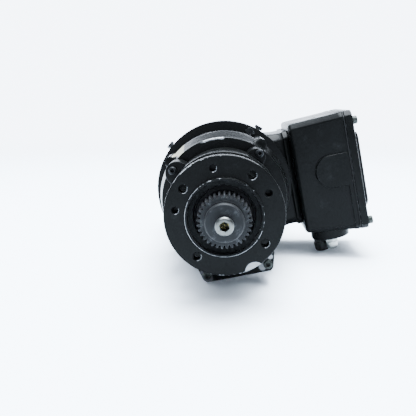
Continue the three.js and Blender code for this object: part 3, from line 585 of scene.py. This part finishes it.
def plated(name, light, dark, roughness, shaded_socket=False):
    """Zinc or nickel plating with fine scratches. On request it paints the inside of the central screw's socket
    near black, a painted shade, with yellowish painted glints.
    """
    look = Look(name, light, roughness, 1.0)
    cloudy = look.noise(4, 3)
    marks = look.scratches(0.8, 0.3).either(look.scratches(0.7, 2.2))
    marks = marks * look.noise(6, 2).over(0.42, 0.6)
    tone = look.tint(cloudy, dark, light)
    dull = look.edges(0.5).over(0.02, 0.2) * look.noise(1.5, 3).over(0.45, 0.65)
    base = look.tint(dull.either(marks) * 0.5, tone, (0.09, 0.088, 0.083))
    if shaded_socket:
        # Painted shade and highlights: near black inside the hex socket, with yellowish painted glints.
        inside = look.radius().over(4.9, 4.5) * look.y.over(-47.9, -47.5)
        painted_glint = look.noise(1.3, 3).over(0.56, 0.64)
        socket_shade_and_glints = look.tint(painted_glint, (0.004, 0.004, 0.003), (0.10, 0.085, 0.03))
        base = look.tint(inside, base, socket_shade_and_glints)
    look.set(Base_Color=base, Roughness=look.mix(cloudy, roughness * 0.7, roughness * 1.6))
    look.bump(marks, -0.015)
    return look.material


def blackened():
    """Black oxide steel, rubbed bright on its corners."""
    look = Look("black_steel", (0.010, 0.011, 0.012), 0.38, 0.6, Specular_IOR_Level=0.1)
    rubbed = look.edges(0.6).over(0.04, 0.25) * look.noise(1.8, 3).over(0.42, 0.58)
    cloudy = look.noise(3, 3)
    oxide = look.tint(cloudy, (0.005, 0.0055, 0.006), (0.013, 0.014, 0.015))
    look.set(
        Base_Color=look.tint(rubbed, oxide, (0.11, 0.11, 0.108)),
        Roughness=look.mix(cloudy, 0.3, 0.5),
    )
    look.bump(look.noise(0.7, 2), 0.02)
    return look.material


def rubbery():
    look = Look("rubber", (0.004, 0.004, 0.0042), 0.65, Specular_IOR_Level=0.1)
    dust = look.noise(6, 4, 0.7)
    look.set(
        Base_Color=look.tint(dust, (0.0028, 0.0028, 0.003), (0.007, 0.007, 0.0073)),
        Roughness=look.mix(dust, 0.55, 0.8),
    )
    look.bump(look.noise(0.6, 2), 0.03)
    return look.material


def plastic(name, colour, roughness):
    """Moulded plastic with a fine spark-eroded texture."""
    look = Look(name, colour, roughness, Specular_IOR_Level=0.12)
    cloudy = look.noise(10, 3)
    scuffed = look.edges(0.7).over(0.05, 0.3) * look.noise(1.5, 3).over(0.45, 0.6)
    lighter = tuple(value * 1.8 + 0.001 for value in colour)
    pale = tuple(value + 0.02 for value in colour)
    look.set(
        Base_Color=look.tint(scuffed, look.tint(cloudy, colour, lighter), pale),
        Roughness=look.mix(cloudy, roughness * 0.85, roughness * 1.15),
    )
    look.bump(look.noise(0.5, 2, 0.6), 0.03)
    return look.material


def copper_wire():
    """Varnished turns of wire that run around the coil."""
    look = Look("winding", (0.42, 0.16, 0.06), 0.35, 0.9)
    wire = look.math("SINE", look.radius() * (TAU / 1.1))
    across = look.math("SINE", look.y * (TAU / 1.1))
    turns = (wire * across).over(-1.0, 1.0)
    varnish = look.noise(5, 3)
    look.set(
        Base_Color=look.tint(turns * 0.6 + varnish * 0.4, (0.13, 0.045, 0.018), (0.52, 0.21, 0.08)),
        Roughness=look.mix(varnish, 0.25, 0.5),
    )
    look.bump(turns, 0.3)
    return look.material


def stacked_sheets():
    """Thin electrical sheets stacked along the shaft."""
    look = Look("laminations", (0.2, 0.2, 0.21), 0.5, 0.8)
    sheet = look.math("SINE", look.y * (TAU / 0.5)).over(-1.0, 1.0)
    cloudy = look.noise(8, 4)
    look.set(
        Base_Color=look.tint(sheet * 0.5 + cloudy * 0.5, (0.10, 0.10, 0.11), (0.28, 0.28, 0.29)),
        Roughness=look.mix(cloudy, 0.4, 0.65),
    )
    look.bump(sheet, 0.06)
    return look.material


LOOKS = {
    "black_paint": enamel("black_paint"),
    "black_steel": blackened(),
    "ground_steel": machined("ground_steel", (0.22, 0.225, 0.23), (0.13, 0.134, 0.138), 0.28),
    "gear_steel": machined("gear_steel", (0.16, 0.163, 0.166), (0.09, 0.093, 0.096), 0.36),
    "phosphated_steel": phosphated(),
    "plated_steel": plated("plated_steel", (0.30, 0.31, 0.30), (0.14, 0.148, 0.14), 0.2),
    "laminations": stacked_sheets(),
    "winding": copper_wire(),
    "rubber": rubbery(),
    "black_plastic": plastic("black_plastic", (0.0045, 0.005, 0.0048), 0.42),
    "moulding": plastic("moulding", (0.012, 0.009, 0.007), 0.45),
}
PAINTS = {
    "output_housing": enamel("black_paint_flange", flange_wear, bore_dust, edge_wear=0.15),
    "ring_gear_housing": enamel("black_paint_band", band_wear, band_cream, edge_wear=0.2),
    "terminal_cover": enamel("black_paint_cover", edge_wear=0.7),
}
SCREW_LOOK = plated("plated_screw", (0.10, 0.105, 0.10), (0.05, 0.052, 0.05), 0.26, shaded_socket=True)
DULL_SCREW_LOOK = plated("dull_zinc", (0.028, 0.032, 0.029), (0.009, 0.0105, 0.010), 0.4)
PLATE_LOOK = machined("bare_aluminium", (0.16, 0.163, 0.166), (0.10, 0.102, 0.104), 0.36, pitch=0.2)


# ---------- gearbox castings

def holes(radius, angles, circle, front, back, flare=0.0):
    spots = [polar(angle, circle) for angle in angles]
    return [rod(radius, front, back, (spot.x, spot.z), flare=flare) for spot in spots]


def ear_holes(front, back):
    return holes(2.8, [angle for angle, _ in EARS], EAR_SCREW_CIRCLE, front, back)


def output_housing():
    half = [(36, -83), (39.5, -80), (43.5, -65), (45, -38)]
    foot = half + [(-x, z) for x, z in reversed(half)]

    def outline(angle):
        reach = BODY_RADIUS
        for ear_angle, size in EARS:
            reach = blend_max(reach, boss_reach(angle, ear_angle, EAR_CIRCLE, size), 3)
        reach = blend_max(reach, outline_reach(angle, foot), 3)
        radius, thickness, rim, bore, height = FLANGE.values()
        return softened([
            (bore, -height, 1.0), (rim, -height, 0.5), (rim, 0, 0.5), (radius, 0, 1.4),
            (radius, thickness, 1.6), (NECK_RADIUS, thickness, 4), (NECK_RADIUS, NECK_BACK, 4),
            (BODY_RADIUS, NECK_BACK, 2), (BODY_RADIUS, FOOT_FRONT, 1.5),
            (reach, FOOT_FRONT, 1.6), (reach, BODY_BACK, 0.8), (50, BODY_BACK, 0.4),
            (50, 82, 0.4), (45.3, 82, 0.4), (45.3, 60.7, 0.4), (40.3, 60.7, 0.4),
            (40.3, 21.7, 0.4), (31, 21.7, 0.4), (31, 1.5, 0.8), (36, -2, 0.8),
        ])

    blank = turned(outline, FINE)
    ribs = [
        plate(softened([(x, -81.5, 1), (x + 3, -81.5, 1), (x + 3, -74, 1), (x, -74, 1)]), 64.2, 70)
        for x in (-17, -12, 2)
    ]
    return cut(
        joined(blank, *ribs),
        *holes(*BOLT_HOLES, BOLT_CIRCLE, -5, 20, flare=0.7),
        *holes(*SPARE_HOLES, BOLT_CIRCLE, -5, 11, flare=0.6),
        *[rod(3.3, 60, 85, spot) for spot in FOOT_SCREWS],
        *ear_holes(60, 100),
    )


def flared_band(y):
    """The ring-gear housing's outer radius along y."""
    _, nose, flare, rear, _ = RING_HOUSING.values()
    rise = min(max((y - 100) / 30, 0), 1)
    fall = soft_step(146, 152, y)
    return nose + (flare - nose) * rise * (1 - fall) + (rear - nose) * fall


def ring_gear_housing():
    front, nose, _, rear, back = RING_HOUSING.values()
    bosses = (45, 135, 225, 315)
    first, last = front + 1.8, back - 1.2
    stations = [first + (last - first) * i / 56 for i in range(57)]

    def outline(angle):
        boss = max(boss_reach(angle, boss_angle, 73, 8) for boss_angle in bosses)
        outer = []
        for y in stations:
            base = flared_band(y)
            share = soft_step(110.5, 113.5, y) * (1 - soft_step(170.5, 173.5, y))
            outer.append((base + (blend_max(base, boss, 2.5) - base) * share, y))
        start = softened([(56, front, 0.5), (nose, front, 1.8), (nose, 99, 0)], 4)[:10]
        return start + outer + softened([
            (rear, back, 0.8), (66.5, back, 0.5), (66.5, 160.3, 0.5), (64, 160.3, 0.5),
            (64, 96.7, 0.5), (56, 96.7, 0.4),
        ])

    blank = turned(outline, FINE)
    return cut(blank, *ear_holes(90, 106))


def motor_adapter():
    radius, front, back = ADAPTER.values()
    blank = turned(softened([
        (24.3, 168, 0.5), (60, 168, 0.8), (60, 161, 0.5), (66.2, 161, 0.5), (66.2, front, 0.4),
        (radius, front, 1.6), (radius, back, 1.6), (31.3, back, 0.5), (31.3, 178, 0.4),
        (19, 178, 0.4), (19, 175.8, 0.3), (24.3, 175.8, 0.3),
    ]), FINE)
    rim_holes = [moved(rod(3.3, -15, 5), rim_turn(angle, radius)) for angle in RIM_BOLTS["angles"]]
    bolts = holes(3.3, ADAPTER_BOLTS["angles"], ADAPTER_BOLTS["circle"], front - 5, back + 5)
    return cut(blank, *bolts, *rim_holes)


def rim_turn(angle, radius):
    """Turns a piece drawn along y so that y points out from the shaft at an angle."""
    middle = (ADAPTER["front"] + ADAPTER["back"]) / 2
    spoke = Matrix.Rotation(-math.radians(angle), 4, "Y")
    return spoke @ shift((radius, middle, 0)) @ quarter("Z", -1)


# ---------- output shaft and pinion

def output_shaft():
    shaft = turned(softened([
        (0, 10, 0), (5.3, 10, 0), (5.3, -25.5, 0.5), (12, -25.5, 1.0), (12, -3.7, 0.4),
        (20, -3.7, 1.2), (20, 40.3, 0.4), (24, 40.3, 0.8), (24, 59, 0.8), (25, 59, 0.4),
        (25, 81.3, 1), (46, 84, 1), (46, 96, 1), (16, 96, 0.5), (16, 90, 0.5), (0, 90, 0),
    ]))
    return cut(shaft, *holes(5.3, (0, 120, 240), 33, 86, 101))


def involute_outline(teeth, module, middle=0.0, steps=6):
    """Points of (angle, radius) around a spur gear, with a tooth centred on middle."""
    pitch, pressure = teeth * module / 2, math.radians(20)
    base, root, tip = pitch * math.cos(pressure), pitch - 1.25 * module, pitch + module
    low = max(base, root + 0.25 * module)

    def half_tooth(radius):
        roll = math.acos(min(1, base / radius))
        slack = 0.08 / pitch
        widest = math.pi / (2 * teeth) - slack + math.tan(pressure) - pressure
        return widest - (math.tan(roll) - roll)

    levels = [low + (tip - low) * i / steps for i in range(steps + 1)]
    foot = half_tooth(low)
    fillet, lift = module / root, 0.1 * module
    flank = [(foot + 0.35 * fillet, root), (foot + 0.08 * fillet, root + lift)]
    flank += [(half_tooth(radius), radius) for radius in levels]
    points = []
    for i in range(teeth):
        centre = middle + TAU * i / teeth
        points += [(centre - turn, radius) for turn, radius in flank]
        points += [(centre + turn, radius) for turn, radius in reversed(flank)]
    return points


def output_pinion():
    teeth, module, front, back, bore = PINION.values()
    shoulder = (teeth + 2) * module / 2 - 0.8
    columns = []
    for angle, radius in involute_outline(teeth, module, math.pi / 2):
        low = min(radius, shoulder)
        columns.append((angle, [
            (bore + 0.5, front), (19.6, front), (20.0, front + 0.35), (22.0, front + 0.35),
            (low, front + 0.35), (radius, front + 1.0), (radius, back - 0.7), (low, back),
            (bore + 0.5, back), (bore, back - 0.5), (bore, front + 0.5),
        ]))
    return spun(columns)


def pinion_clamp_washer():
    return turned(softened([
        (5.35, -34, 0.4), (17.4, -34, 0.3), (18.7, -32.7, 0.3), (18.7, -26.3, 0.5),
        (5.35, -26.3, 0.4),
    ], 5))


def screw_spacer():
    corners = (5.35, -43, 0.3), (6.9, -43, 0.5), (6.9, -34.3, 0.3), (5.35, -34.3, 0.3)
    return turned(softened(corners))


def socket_screw(radius, height, shank, length, socket, steps=ROUND):
    """A socket head screw along y, with its head's front face at y = 0."""
    depth = 0.9 * height

    def outline(angle):
        flat = hex_reach(angle, socket)
        return [
            (0, depth + 0.25 * socket), (flat * 0.55, depth + 0.08 * socket), (flat, depth),
            (flat, 0.06 * radius), (flat + 0.05 * radius, 0), (0.82 * radius, 0),
            (0.845 * radius, 0.015 * radius), (0.975 * radius, 0.12 * radius),
            (radius, 0.17 * radius), (radius, height - 0.05 * radius), (0.97 * radius, height),
            (shank, height), (shank, length - 0.2 * shank), (0.8 * shank, length), (0, length),
        ]

    return turned(outline, steps)


def hex_screw(flats, length):
    """A hexagon head screw along y, with its head's front face at y = 0."""
    face = 0.44 * flats
    height, shank = BOLT_HEAD, BOLT_SHANK

    def outline(angle):
        side = hex_reach(angle, flats)
        return [
            (0, 0.4), (0.3 * flats, 0.4), (0.34 * flats, 0), (face, 0),
            (side, (side - face) * 0.5), (side, height - 0.4), (0.48 * flats, height - 0.3),
            (0.48 * flats, height), (shank, height), (shank, length), (0, length),
        ]

    return turned(outline, 96)


def output_seal():
    return turned(softened([
        (20.2, 13.2, 0.3), (21.2, 12.3, 0.4), (22.6, 12.6, 0.4), (24.2, 14.6, 0.5),
        (28.3, 14.6, 0.5), (28.9, 12, 0.5), (30.7, 12, 0.5), (30.7, 20, 0.5), (20.2, 20, 0.5),
    ]))


# ---------- motor

def stator_frame():
    bore, wall, tip, fins, front, back = STATOR.values()
    pitch = TAU / fins

    def outline(angle):
        offset = abs((angle + pitch / 2) % pitch - pitch / 2) / pitch
        fin = wall + (tip - wall) * (1 - soft_step(0.12, 0.26, offset))
        edges = (bore, front, 0.5), (fin, front, 1.2), (fin, back, 1.2), (bore, back, 0.5)
        return softened(edges)

    shell = turned(outline, fins * 18)
    (near, far), (bottom, top) = PEDESTAL.values()
    steps = (60, 2.5), (68, 1.2), (76, 0), (84.5, 0), (86, 0.4), (87, 1.6), (92.2, 1.6), (93, 1.0)
    rings = [
        chamfered_ring(x, (near - grow, far + grow), (bottom - grow, top + grow), 9, 3)
        for x, grow in steps
    ]
    pedestal = cut(loft(rings), rod(68, 150, 400, steps=FINE))
    return cut(joined(shell, pedestal), wire_way(50, 120))


def wire_way(low, high):
    """The opening for the wires, from low to high on x."""
    return plate([(low, -17), (high, -17), (high, 17), (low, 17)], 209, 235)


def rear_end_shield():
    return turned(softened([
        (13.3, 352, 0.4), (13.3, 349.3, 0.3), (26.3, 349.3, 0.3), (26.3, 330, 0.5),
        (32.3, 330, 1), (34.3, 340.3, 1.5), (76, 340.3, 1.3), (76, 352, 1.3), (40, 352, 1.5),
        (38, 351, 1.5),
    ]), FINE)


def fan_cowl():
    shell = turned(softened([
        (77, 343, 0.3), (79, 343, 0.4), (79, 352, 1.0), (78.3, 353, 1.0), (78.3, 355, 1.0),
        (79, 356, 1.0), (79, 396, 5), (0, 396, 0), (0, 394, 0), (77, 394, 4),
    ], 6), FINE)
    slots = []
    for count, inner, outer, half in ((8, 18, 38, 3.5), (16, 46, 67, 4)):
        for i in range(count):
            corners = (inner, -half), (outer, -half), (outer, half), (inner, half)
            slot = plate(softened([(*corner, half) for corner in corners], 6), 385, 401)
            slots.append(moved(slot, Matrix.Rotation(TAU * i / count, 4, "Y")))
    return cut(shell, *slots)


# ---------- terminal box

def chamfered_ring(x, span_y, span_z, corner, rounding, arc=4):
    """A rectangle in y and z with chamfered corners, as a ring of points at one x."""
    (front, back), (bottom, top) = span_y, span_z
    corners = [
        (back - corner, top), (front + corner, top), (front, top - corner),
        (front, bottom + corner), (front + corner, bottom), (back - corner, bottom),
        (back, bottom + corner), (back, top - corner),
    ]
    return [(x, y, z) for y, z in softened([(y, z, rounding) for y, z in corners], arc)]


def inset_ring(x, margins, inset, corner, rounding=1.6):
    """The mouth of the box at x, drawn in by margins (sides, bottom and top) and by inset."""
    (front, back), (bottom, top) = BOX["y"], BOX["z"]
    side, low, high = margins[0] + inset, bottom + margins[1] + inset, top - margins[2] - inset
    return chamfered_ring(x, (front + side, back - side), (low, high), corner, rounding)


def box_ring(x, inset, corner=6.5, rounding=1.6):
    """The box's outline at x, which widens from its floor to its mouth."""
    share = (BOX["outer"] - x) / (BOX["outer"] - BOX["inner"])
    return inset_ring(x, [draft * share for draft in BOX_DRAFT], inset, corner, rounding)


def cover_screw_places():
    inset = COVER_SCREWS["inset"]
    front, back = BOX["y"]
    return [(y, z) for z in COVER_SCREWS["z"] for y in (front + inset, back - inset)]


def cover_holes(low, high, radius=2.9):
    """Rods along x at the cover's screws, used to cut their holes."""
    spots = [shift((0, *spot)) @ quarter("Z", -1) for spot in cover_screw_places()]
    return [moved(rod(radius, low, high), spot) for spot in spots]


def raised_pad(outline):
    """A pad on the box's front face, with a small chamfer, from an outline of (x, z)."""
    front = BOX["y"][0]
    points = [Vector(point) for point in outline]
    middle = sum(points, Vector((0, 0))) / len(points)

    def ring(y, inset):
        spots = [point + (middle - point).normalized() * inset for point in points]
        return [(spot.x, y, spot.y) for spot in spots]

    steps = (3, 0), (-1.2, 0), (-1.8, 0.3), (-2.2, 0.9)
    return loft([ring(front + y, inset) for y, inset in steps])


def face_pad():
    """A pad with a round inner end, that runs out to the box's mouth."""
    steps = 24
    turns = [math.pi * (0.5 + i / steps) for i in range(steps + 1)]
    x, z, radius, bottom, top = PAD.values()
    mouth = BOX["outer"] - 1
    arc = [(x + radius * math.cos(turn), z + radius * math.sin(turn)) for turn in turns]
    return raised_pad(arc + [(mouth, bottom), (mouth, top)])


def edge_strip():
    inner, low, high = EDGE_STRIP.values()
    mouth = BOX["outer"] - 1
    return raised_pad([(inner, high), (inner, low), (mouth, low), (mouth, high)])


def entry_place(entry):
    """Turns a piece drawn along y so that y points up from the bottom of the boss."""
    return shift((entry["x"], entry["y"], ENTRY["bottom"])) @ quarter("X")


def entry_boss():
    """The round boss under the box that carries the gland and the plug."""
    radius = ENTRY["radius"]
    boss = turned(softened([
        (0, 0, 0), (radius, 0, 1.5), (radius, 14, 2), (radius + 3, 17, 1), (radius + 3, 20, 0),
        (0, 20, 0),
    ]))
    return moved(boss, entry_place(ENTRY))


def terminal_box():
    inner, outer, wall = BOX["inner"], BOX["outer"], BOX["wall"]
    shell = loft([box_ring(x, inset) for x, inset in (
        (inner, 3.2), (inner + 0.8, 1.5), (inner + 2.4, 0.3), (inner + 4, 0),
        (outer - 6.5, 0.3), (outer - 5.8, 0), (outer - 0.6, 0), (outer, 0.6),
    )])
    pillars = cover_holes(inner, outer + 5, COVER_SCREWS["pillar"])
    cavity = [box_ring(inner + wall, wall, 5, 1), box_ring(outer + 1, wall, 5, 1)]
    # Known fault: these two rods should cut the boss, but they only graze the box's top.
    high = -ENTRY["bottom"]
    rods = [rod(entry["thread"] + GAP, high - 30, high + 5) for entry in (GLAND, PLUG)]
    stands = [shift((entry["x"], entry["y"], 0)) @ quarter("X") for entry in (GLAND, PLUG)]
    return cut(
        joined(shell, entry_boss(), face_pad(), edge_strip()),
        cut(loft(cavity), *pillars),
        wire_way(80, 110),
        *map(moved, rods, stands),
        *cover_holes(outer - 18, outer + 5),
    )


def plateau_ring(x, inset, corner=5):
    """The outline of the cover's raised middle at x."""
    return inset_ring(x, PLATEAU, inset, corner)


def terminal_cover():
    front, ledge, crown = COVER.values()
    rim = [(front, 0.5), (front + 0.6, 0), (ledge - 1.5, 0), (ledge - 0.4, 0.6), (ledge, 1.8)]
    plateau = [(ledge, -2.0), (ledge + 0.5, -0.8), (ledge + 1.4, 0)]
    plateau += [(crown - 2.2, 1.5), (crown - 0.8, 2.3), (crown - 0.2, 3.4), (crown, 5.0)]
    rings = [inset_ring(x, (0, 0, 0), inset, 6.5) for x, inset in rim]
    shell = loft(rings + [plateau_ring(*ring) for ring in plateau])
    hollow = loft([plateau_ring(front - 1, 4, 4), plateau_ring(crown - 4, 5, 4)])
    recess = loft([plate_ring(crown - 0.8, -0.4), plate_ring(crown + 1, -0.4)])
    return cut(shell, hollow, recess, *cover_holes(front - 5, crown + 5))


def terminal_cover_gasket():
    low, high = BOX["outer"] + GAP, COVER["front"] - GAP
    outer = loft([box_ring(low, 0.6), box_ring(high, 0.6)])
    inner = loft([box_ring(low - 1, 15, 5, 1), box_ring(high + 1, 15, 5, 1)])
    return cut(outer, inner, *cover_holes(low - 5, high + 5))


def cable_gland_body():
    _, _, flats, thread, bore = GLAND.values()

    def outline(angle):
        side = hex_reach(angle, flats)
        face = 0.48 * flats
        return [
            (bore, -6), (face, -6), (side, -6 + (side - face) * 0.6), (side, -1.0),
            (face + 0.3, -GAP), (thread, -GAP), (thread, 16), (thread - 0.8, 17), (bore, 17),
        ]

    return turned(outline)


def cable_gland_nut():
    """A domed nut with a dozen grip flutes."""
    bore = GLAND["bore"]

    def outline(angle):
        grip = 0.3 * (0.5 + 0.5 * math.cos(12 * angle))
        return softened([
            (bore, -18.4, 0.4), (8, -18.4, 0.6), (9.7 - grip, -16, 1.0), (10 - grip, -7.2, 0.5),
            (10, -6.3, 0.3), (bore, -6.3, 0),
        ])

    return turned(outline)


def cable_gland_seal():
    corners = (4.7, -17.4, 0.8), (5.6, -17.4, 0.4), (5.6, -1, 0.3), (4.7, -1, 0.3)
    return turned(softened(corners), 64)


def blanking_plug():
    _, _, flats, thread = PLUG.values()

    def outline(angle):
        side = hex_reach(angle, flats)
        face = 0.465 * flats
        return [
            (0, -15.5), (2.6, -15.35), (4.6, -14.7), (6.2, -13.5), (7.1, -12), (7.6, -10.2),
            (7.75, -8), (7.8, -5), (side - 0.05, -5), (side, -4.9), (side, -0.8),
            (face + 0.1, -GAP), (thread, -GAP), (thread, 13.2), (thread - 0.8, 14), (0, 14),
        ]

    return turned(outline)


def plate_middle():
    bottom, top = BOX["z"]
    return sum(BOX["y"]) / 2, (bottom + PLATEAU[1] + top - PLATEAU[2]) / 2


def plate_ring(x, inset):
    (y, z), (half_y, half_z) = plate_middle(), PLATE_HALF
    spans = (y - half_y + inset, y + half_y - inset), (z - half_z + inset, z + half_z - inset)
    return chamfered_ring(x, *spans, 2, 1)


def rating_plate():
    """A blank plate in a shallow recess of the cover, with a rivet in each corner."""
    crown = COVER["crown"]
    steps = (-0.9, 0), (-0.2, 0), (-0.05, 0.2)
    sheet = loft([plate_ring(crown + x, inset) for x, inset in steps])
    y, z = plate_middle()
    half_y, half_z = (half - 4 for half in PLATE_HALF)
    rivets = []
    for side_y, side_z in ((-1, -1), (-1, 1), (1, -1), (1, 1)):
        dome = turned([(0, 0), (0, 0.9), (0.9, 0.8), (1.5, 0.5), (1.7, 0)], 32)
        spot = shift((crown - 0.3, y + side_y * half_y, z + side_z * half_z))
        rivets.append(moved(dome, spot @ quarter("Z", -1)))
    return joined(sheet, *rivets)


# ---------- put together

for make in (
    output_housing, ring_gear_housing, motor_adapter, stator_frame, rear_end_shield, fan_cowl,
    terminal_box, terminal_cover, terminal_cover_gasket, output_seal,
):
    name = make.__name__
    place(make(), name, PAINTS.get(name), crease=40 if make is stator_frame else 32)
for make in (output_shaft, output_pinion, pinion_clamp_washer, screw_spacer):
    place(make(), make.__name__, body="output")
screw = socket_screw(**PINION_SCREW)
place(screw, "pinion_screw", SCREW_LOOK, "output", shift((0, PINION_SCREW_FRONT, 0)))

for i, (angle, _) in enumerate(EARS, 1):
    front = FOOT_FRONT - GAP - EAR_SCREW["height"]
    spot = shift(polar(angle, EAR_SCREW_CIRCLE, front))
    place(socket_screw(**EAR_SCREW), f"housing_screw_{i}", at=spot)
for i, (x, z) in enumerate(FOOT_SCREWS, 1):
    spot = shift((x, FOOT_FRONT - GAP - LUG_SCREW["height"], z))
    place(socket_screw(**LUG_SCREW), f"foot_screw_{i}", DULL_SCREW_LOOK, at=spot)
for i, angle in enumerate(ADAPTER_BOLTS["angles"], 1):
    front = ADAPTER["front"] - GAP - BOLT_HEAD
    spot = shift(polar(angle, ADAPTER_BOLTS["circle"], front))
    bolt = hex_screw(ADAPTER_BOLTS["flats"], 17)
    place(bolt, f"adapter_bolt_{i}", at=spot)
for i, angle in enumerate(RIM_BOLTS["angles"], 1):
    bolt = moved(hex_screw(RIM_BOLTS["flats"], 14), Matrix.Rotation(math.pi, 4, "X"))
    place(bolt, f"rim_bolt_{i}", at=rim_turn(angle, ADAPTER["radius"] + GAP + BOLT_HEAD))
for i, (y, z) in enumerate(cover_screw_places(), 1):
    spot = shift((COVER["ledge"] + GAP + COVER_SCREW["height"], y, z))
    screw = socket_screw(**COVER_SCREW)
    place(screw, f"cover_screw_{i}", DULL_SCREW_LOOK, at=spot @ quarter("Z"))

for make in (cable_gland_body, cable_gland_nut, cable_gland_seal, blanking_plug):
    entry = PLUG if make is blanking_plug else GLAND
    place(make(), make.__name__, at=entry_place(entry))
place(rating_plate(), look=PLATE_LOOK, slot="plated_steel")

# Inner pieces keep their CAD shape and get their slot's material.
for name, node in frame["nodes"].items():
    if not node.hide_render:
        node.data.materials.clear()
        node.data.materials.append(LOOKS[SLOT_OF[name]])

# ---------- floor, light and camera

SKY_COLOUR = (0.80, 0.88, 1.0, 1)
PAPER_COLOUR = (0.80, 0.86, 0.91)
KEY_COLOUR = (0.86, 0.93, 1.0)
KEY_AT, KEY_AIM, KEY_SIZE, KEY_POWER = (0.10, 0.20, 2.6), (0.03, 0.0, 0.05), 1.5, 520
FLOOR_HALF = 8
CAMERA_OFFSET = Vector((-0.0006, -0.5525, 0.1098))  # from the middle of the flange's face


def wall_glow(nodes, y):
    """The studio's far wall along a direction's y: bright behind the unit, dimmer in front."""
    return nodes.step(y, -0.5, 0.8, 4.0, 8.4)


def floor():
    """Pale paper that turns into the glow of the studio's far wall, so that no horizon shows."""
    half = FLOOR_HALF
    mesh = bpy.data.meshes.new("floor")
    corners = [(-half, -half, 0), (half, -half, 0), (half, half, 0), (-half, half, 0)]
    mesh.from_pydata(corners, [], [(0, 1, 2, 3)])
    paper = Look("paper", PAPER_COLOUR, 0.8, Specular_IOR_Level=0.03)
    x, y, _ = paper.split(paper.node("ShaderNodeTexCoord").outputs["Object"])
    reach = paper.math("SQRT", x * x + y * y)
    glow = wall_glow(paper, paper.math("DIVIDE", y, reach))
    wall = paper.node("ShaderNodeEmission", Color=SKY_COLOUR, Strength=glow)
    blend = paper.node("ShaderNodeMixShader", Fac=reach.over(0.8, 2.6))
    paper.feed(blend.inputs[1], paper.shader.outputs["BSDF"])
    paper.feed(blend.inputs[2], wall.outputs["Emission"])
    paper.feed(paper.tree.nodes["Material Output"].inputs["Surface"], blend.outputs["Shader"])
    mesh.materials.append(paper.material)
    new_object("floor", mesh)


def key_light():
    """A large softbox overhead."""
    light = bpy.data.lights.new("key", "AREA")
    light.size = KEY_SIZE
    light.energy = KEY_POWER
    light.color = KEY_COLOUR
    lamp = new_object("key", light)
    lamp.location = KEY_AT
    lamp.rotation_euler = (Vector(KEY_AIM) - Vector(KEY_AT)).to_track_quat("-Z", "Y").to_euler()


def sky():
    """A pale studio: a bright ceiling, and a low glow around the floor."""
    world = bpy.data.worlds.new("studio")
    world.use_nodes = True
    nodes = Nodes(world.node_tree)
    _, y, z = nodes.split(nodes.node("ShaderNodeTexCoord").outputs["Generated"])
    low_wall = wall_glow(nodes, y) * nodes.step(z, 0.17, 0.30, 1.0, 0.06)
    ceiling = nodes.step(z, 0.68, 0.88, 0.0, 13.0)
    background = nodes.tree.nodes["Background"]
    background.inputs["Color"].default_value = SKY_COLOUR
    nodes.feed(background.inputs["Strength"], low_wall + ceiling)
    bpy.context.scene.world = world


def camera():
    lens = bpy.data.cameras.new("camera")
    lens.lens, lens.sensor_width = 50, 36
    view = new_object("camera", lens)
    view.location = ORIGIN + CAMERA_OFFSET
    view.rotation_euler = (math.radians(79.6), 0, math.radians(1.6))
    bpy.context.scene.camera = view


floor()
sky()
key_light()
camera()
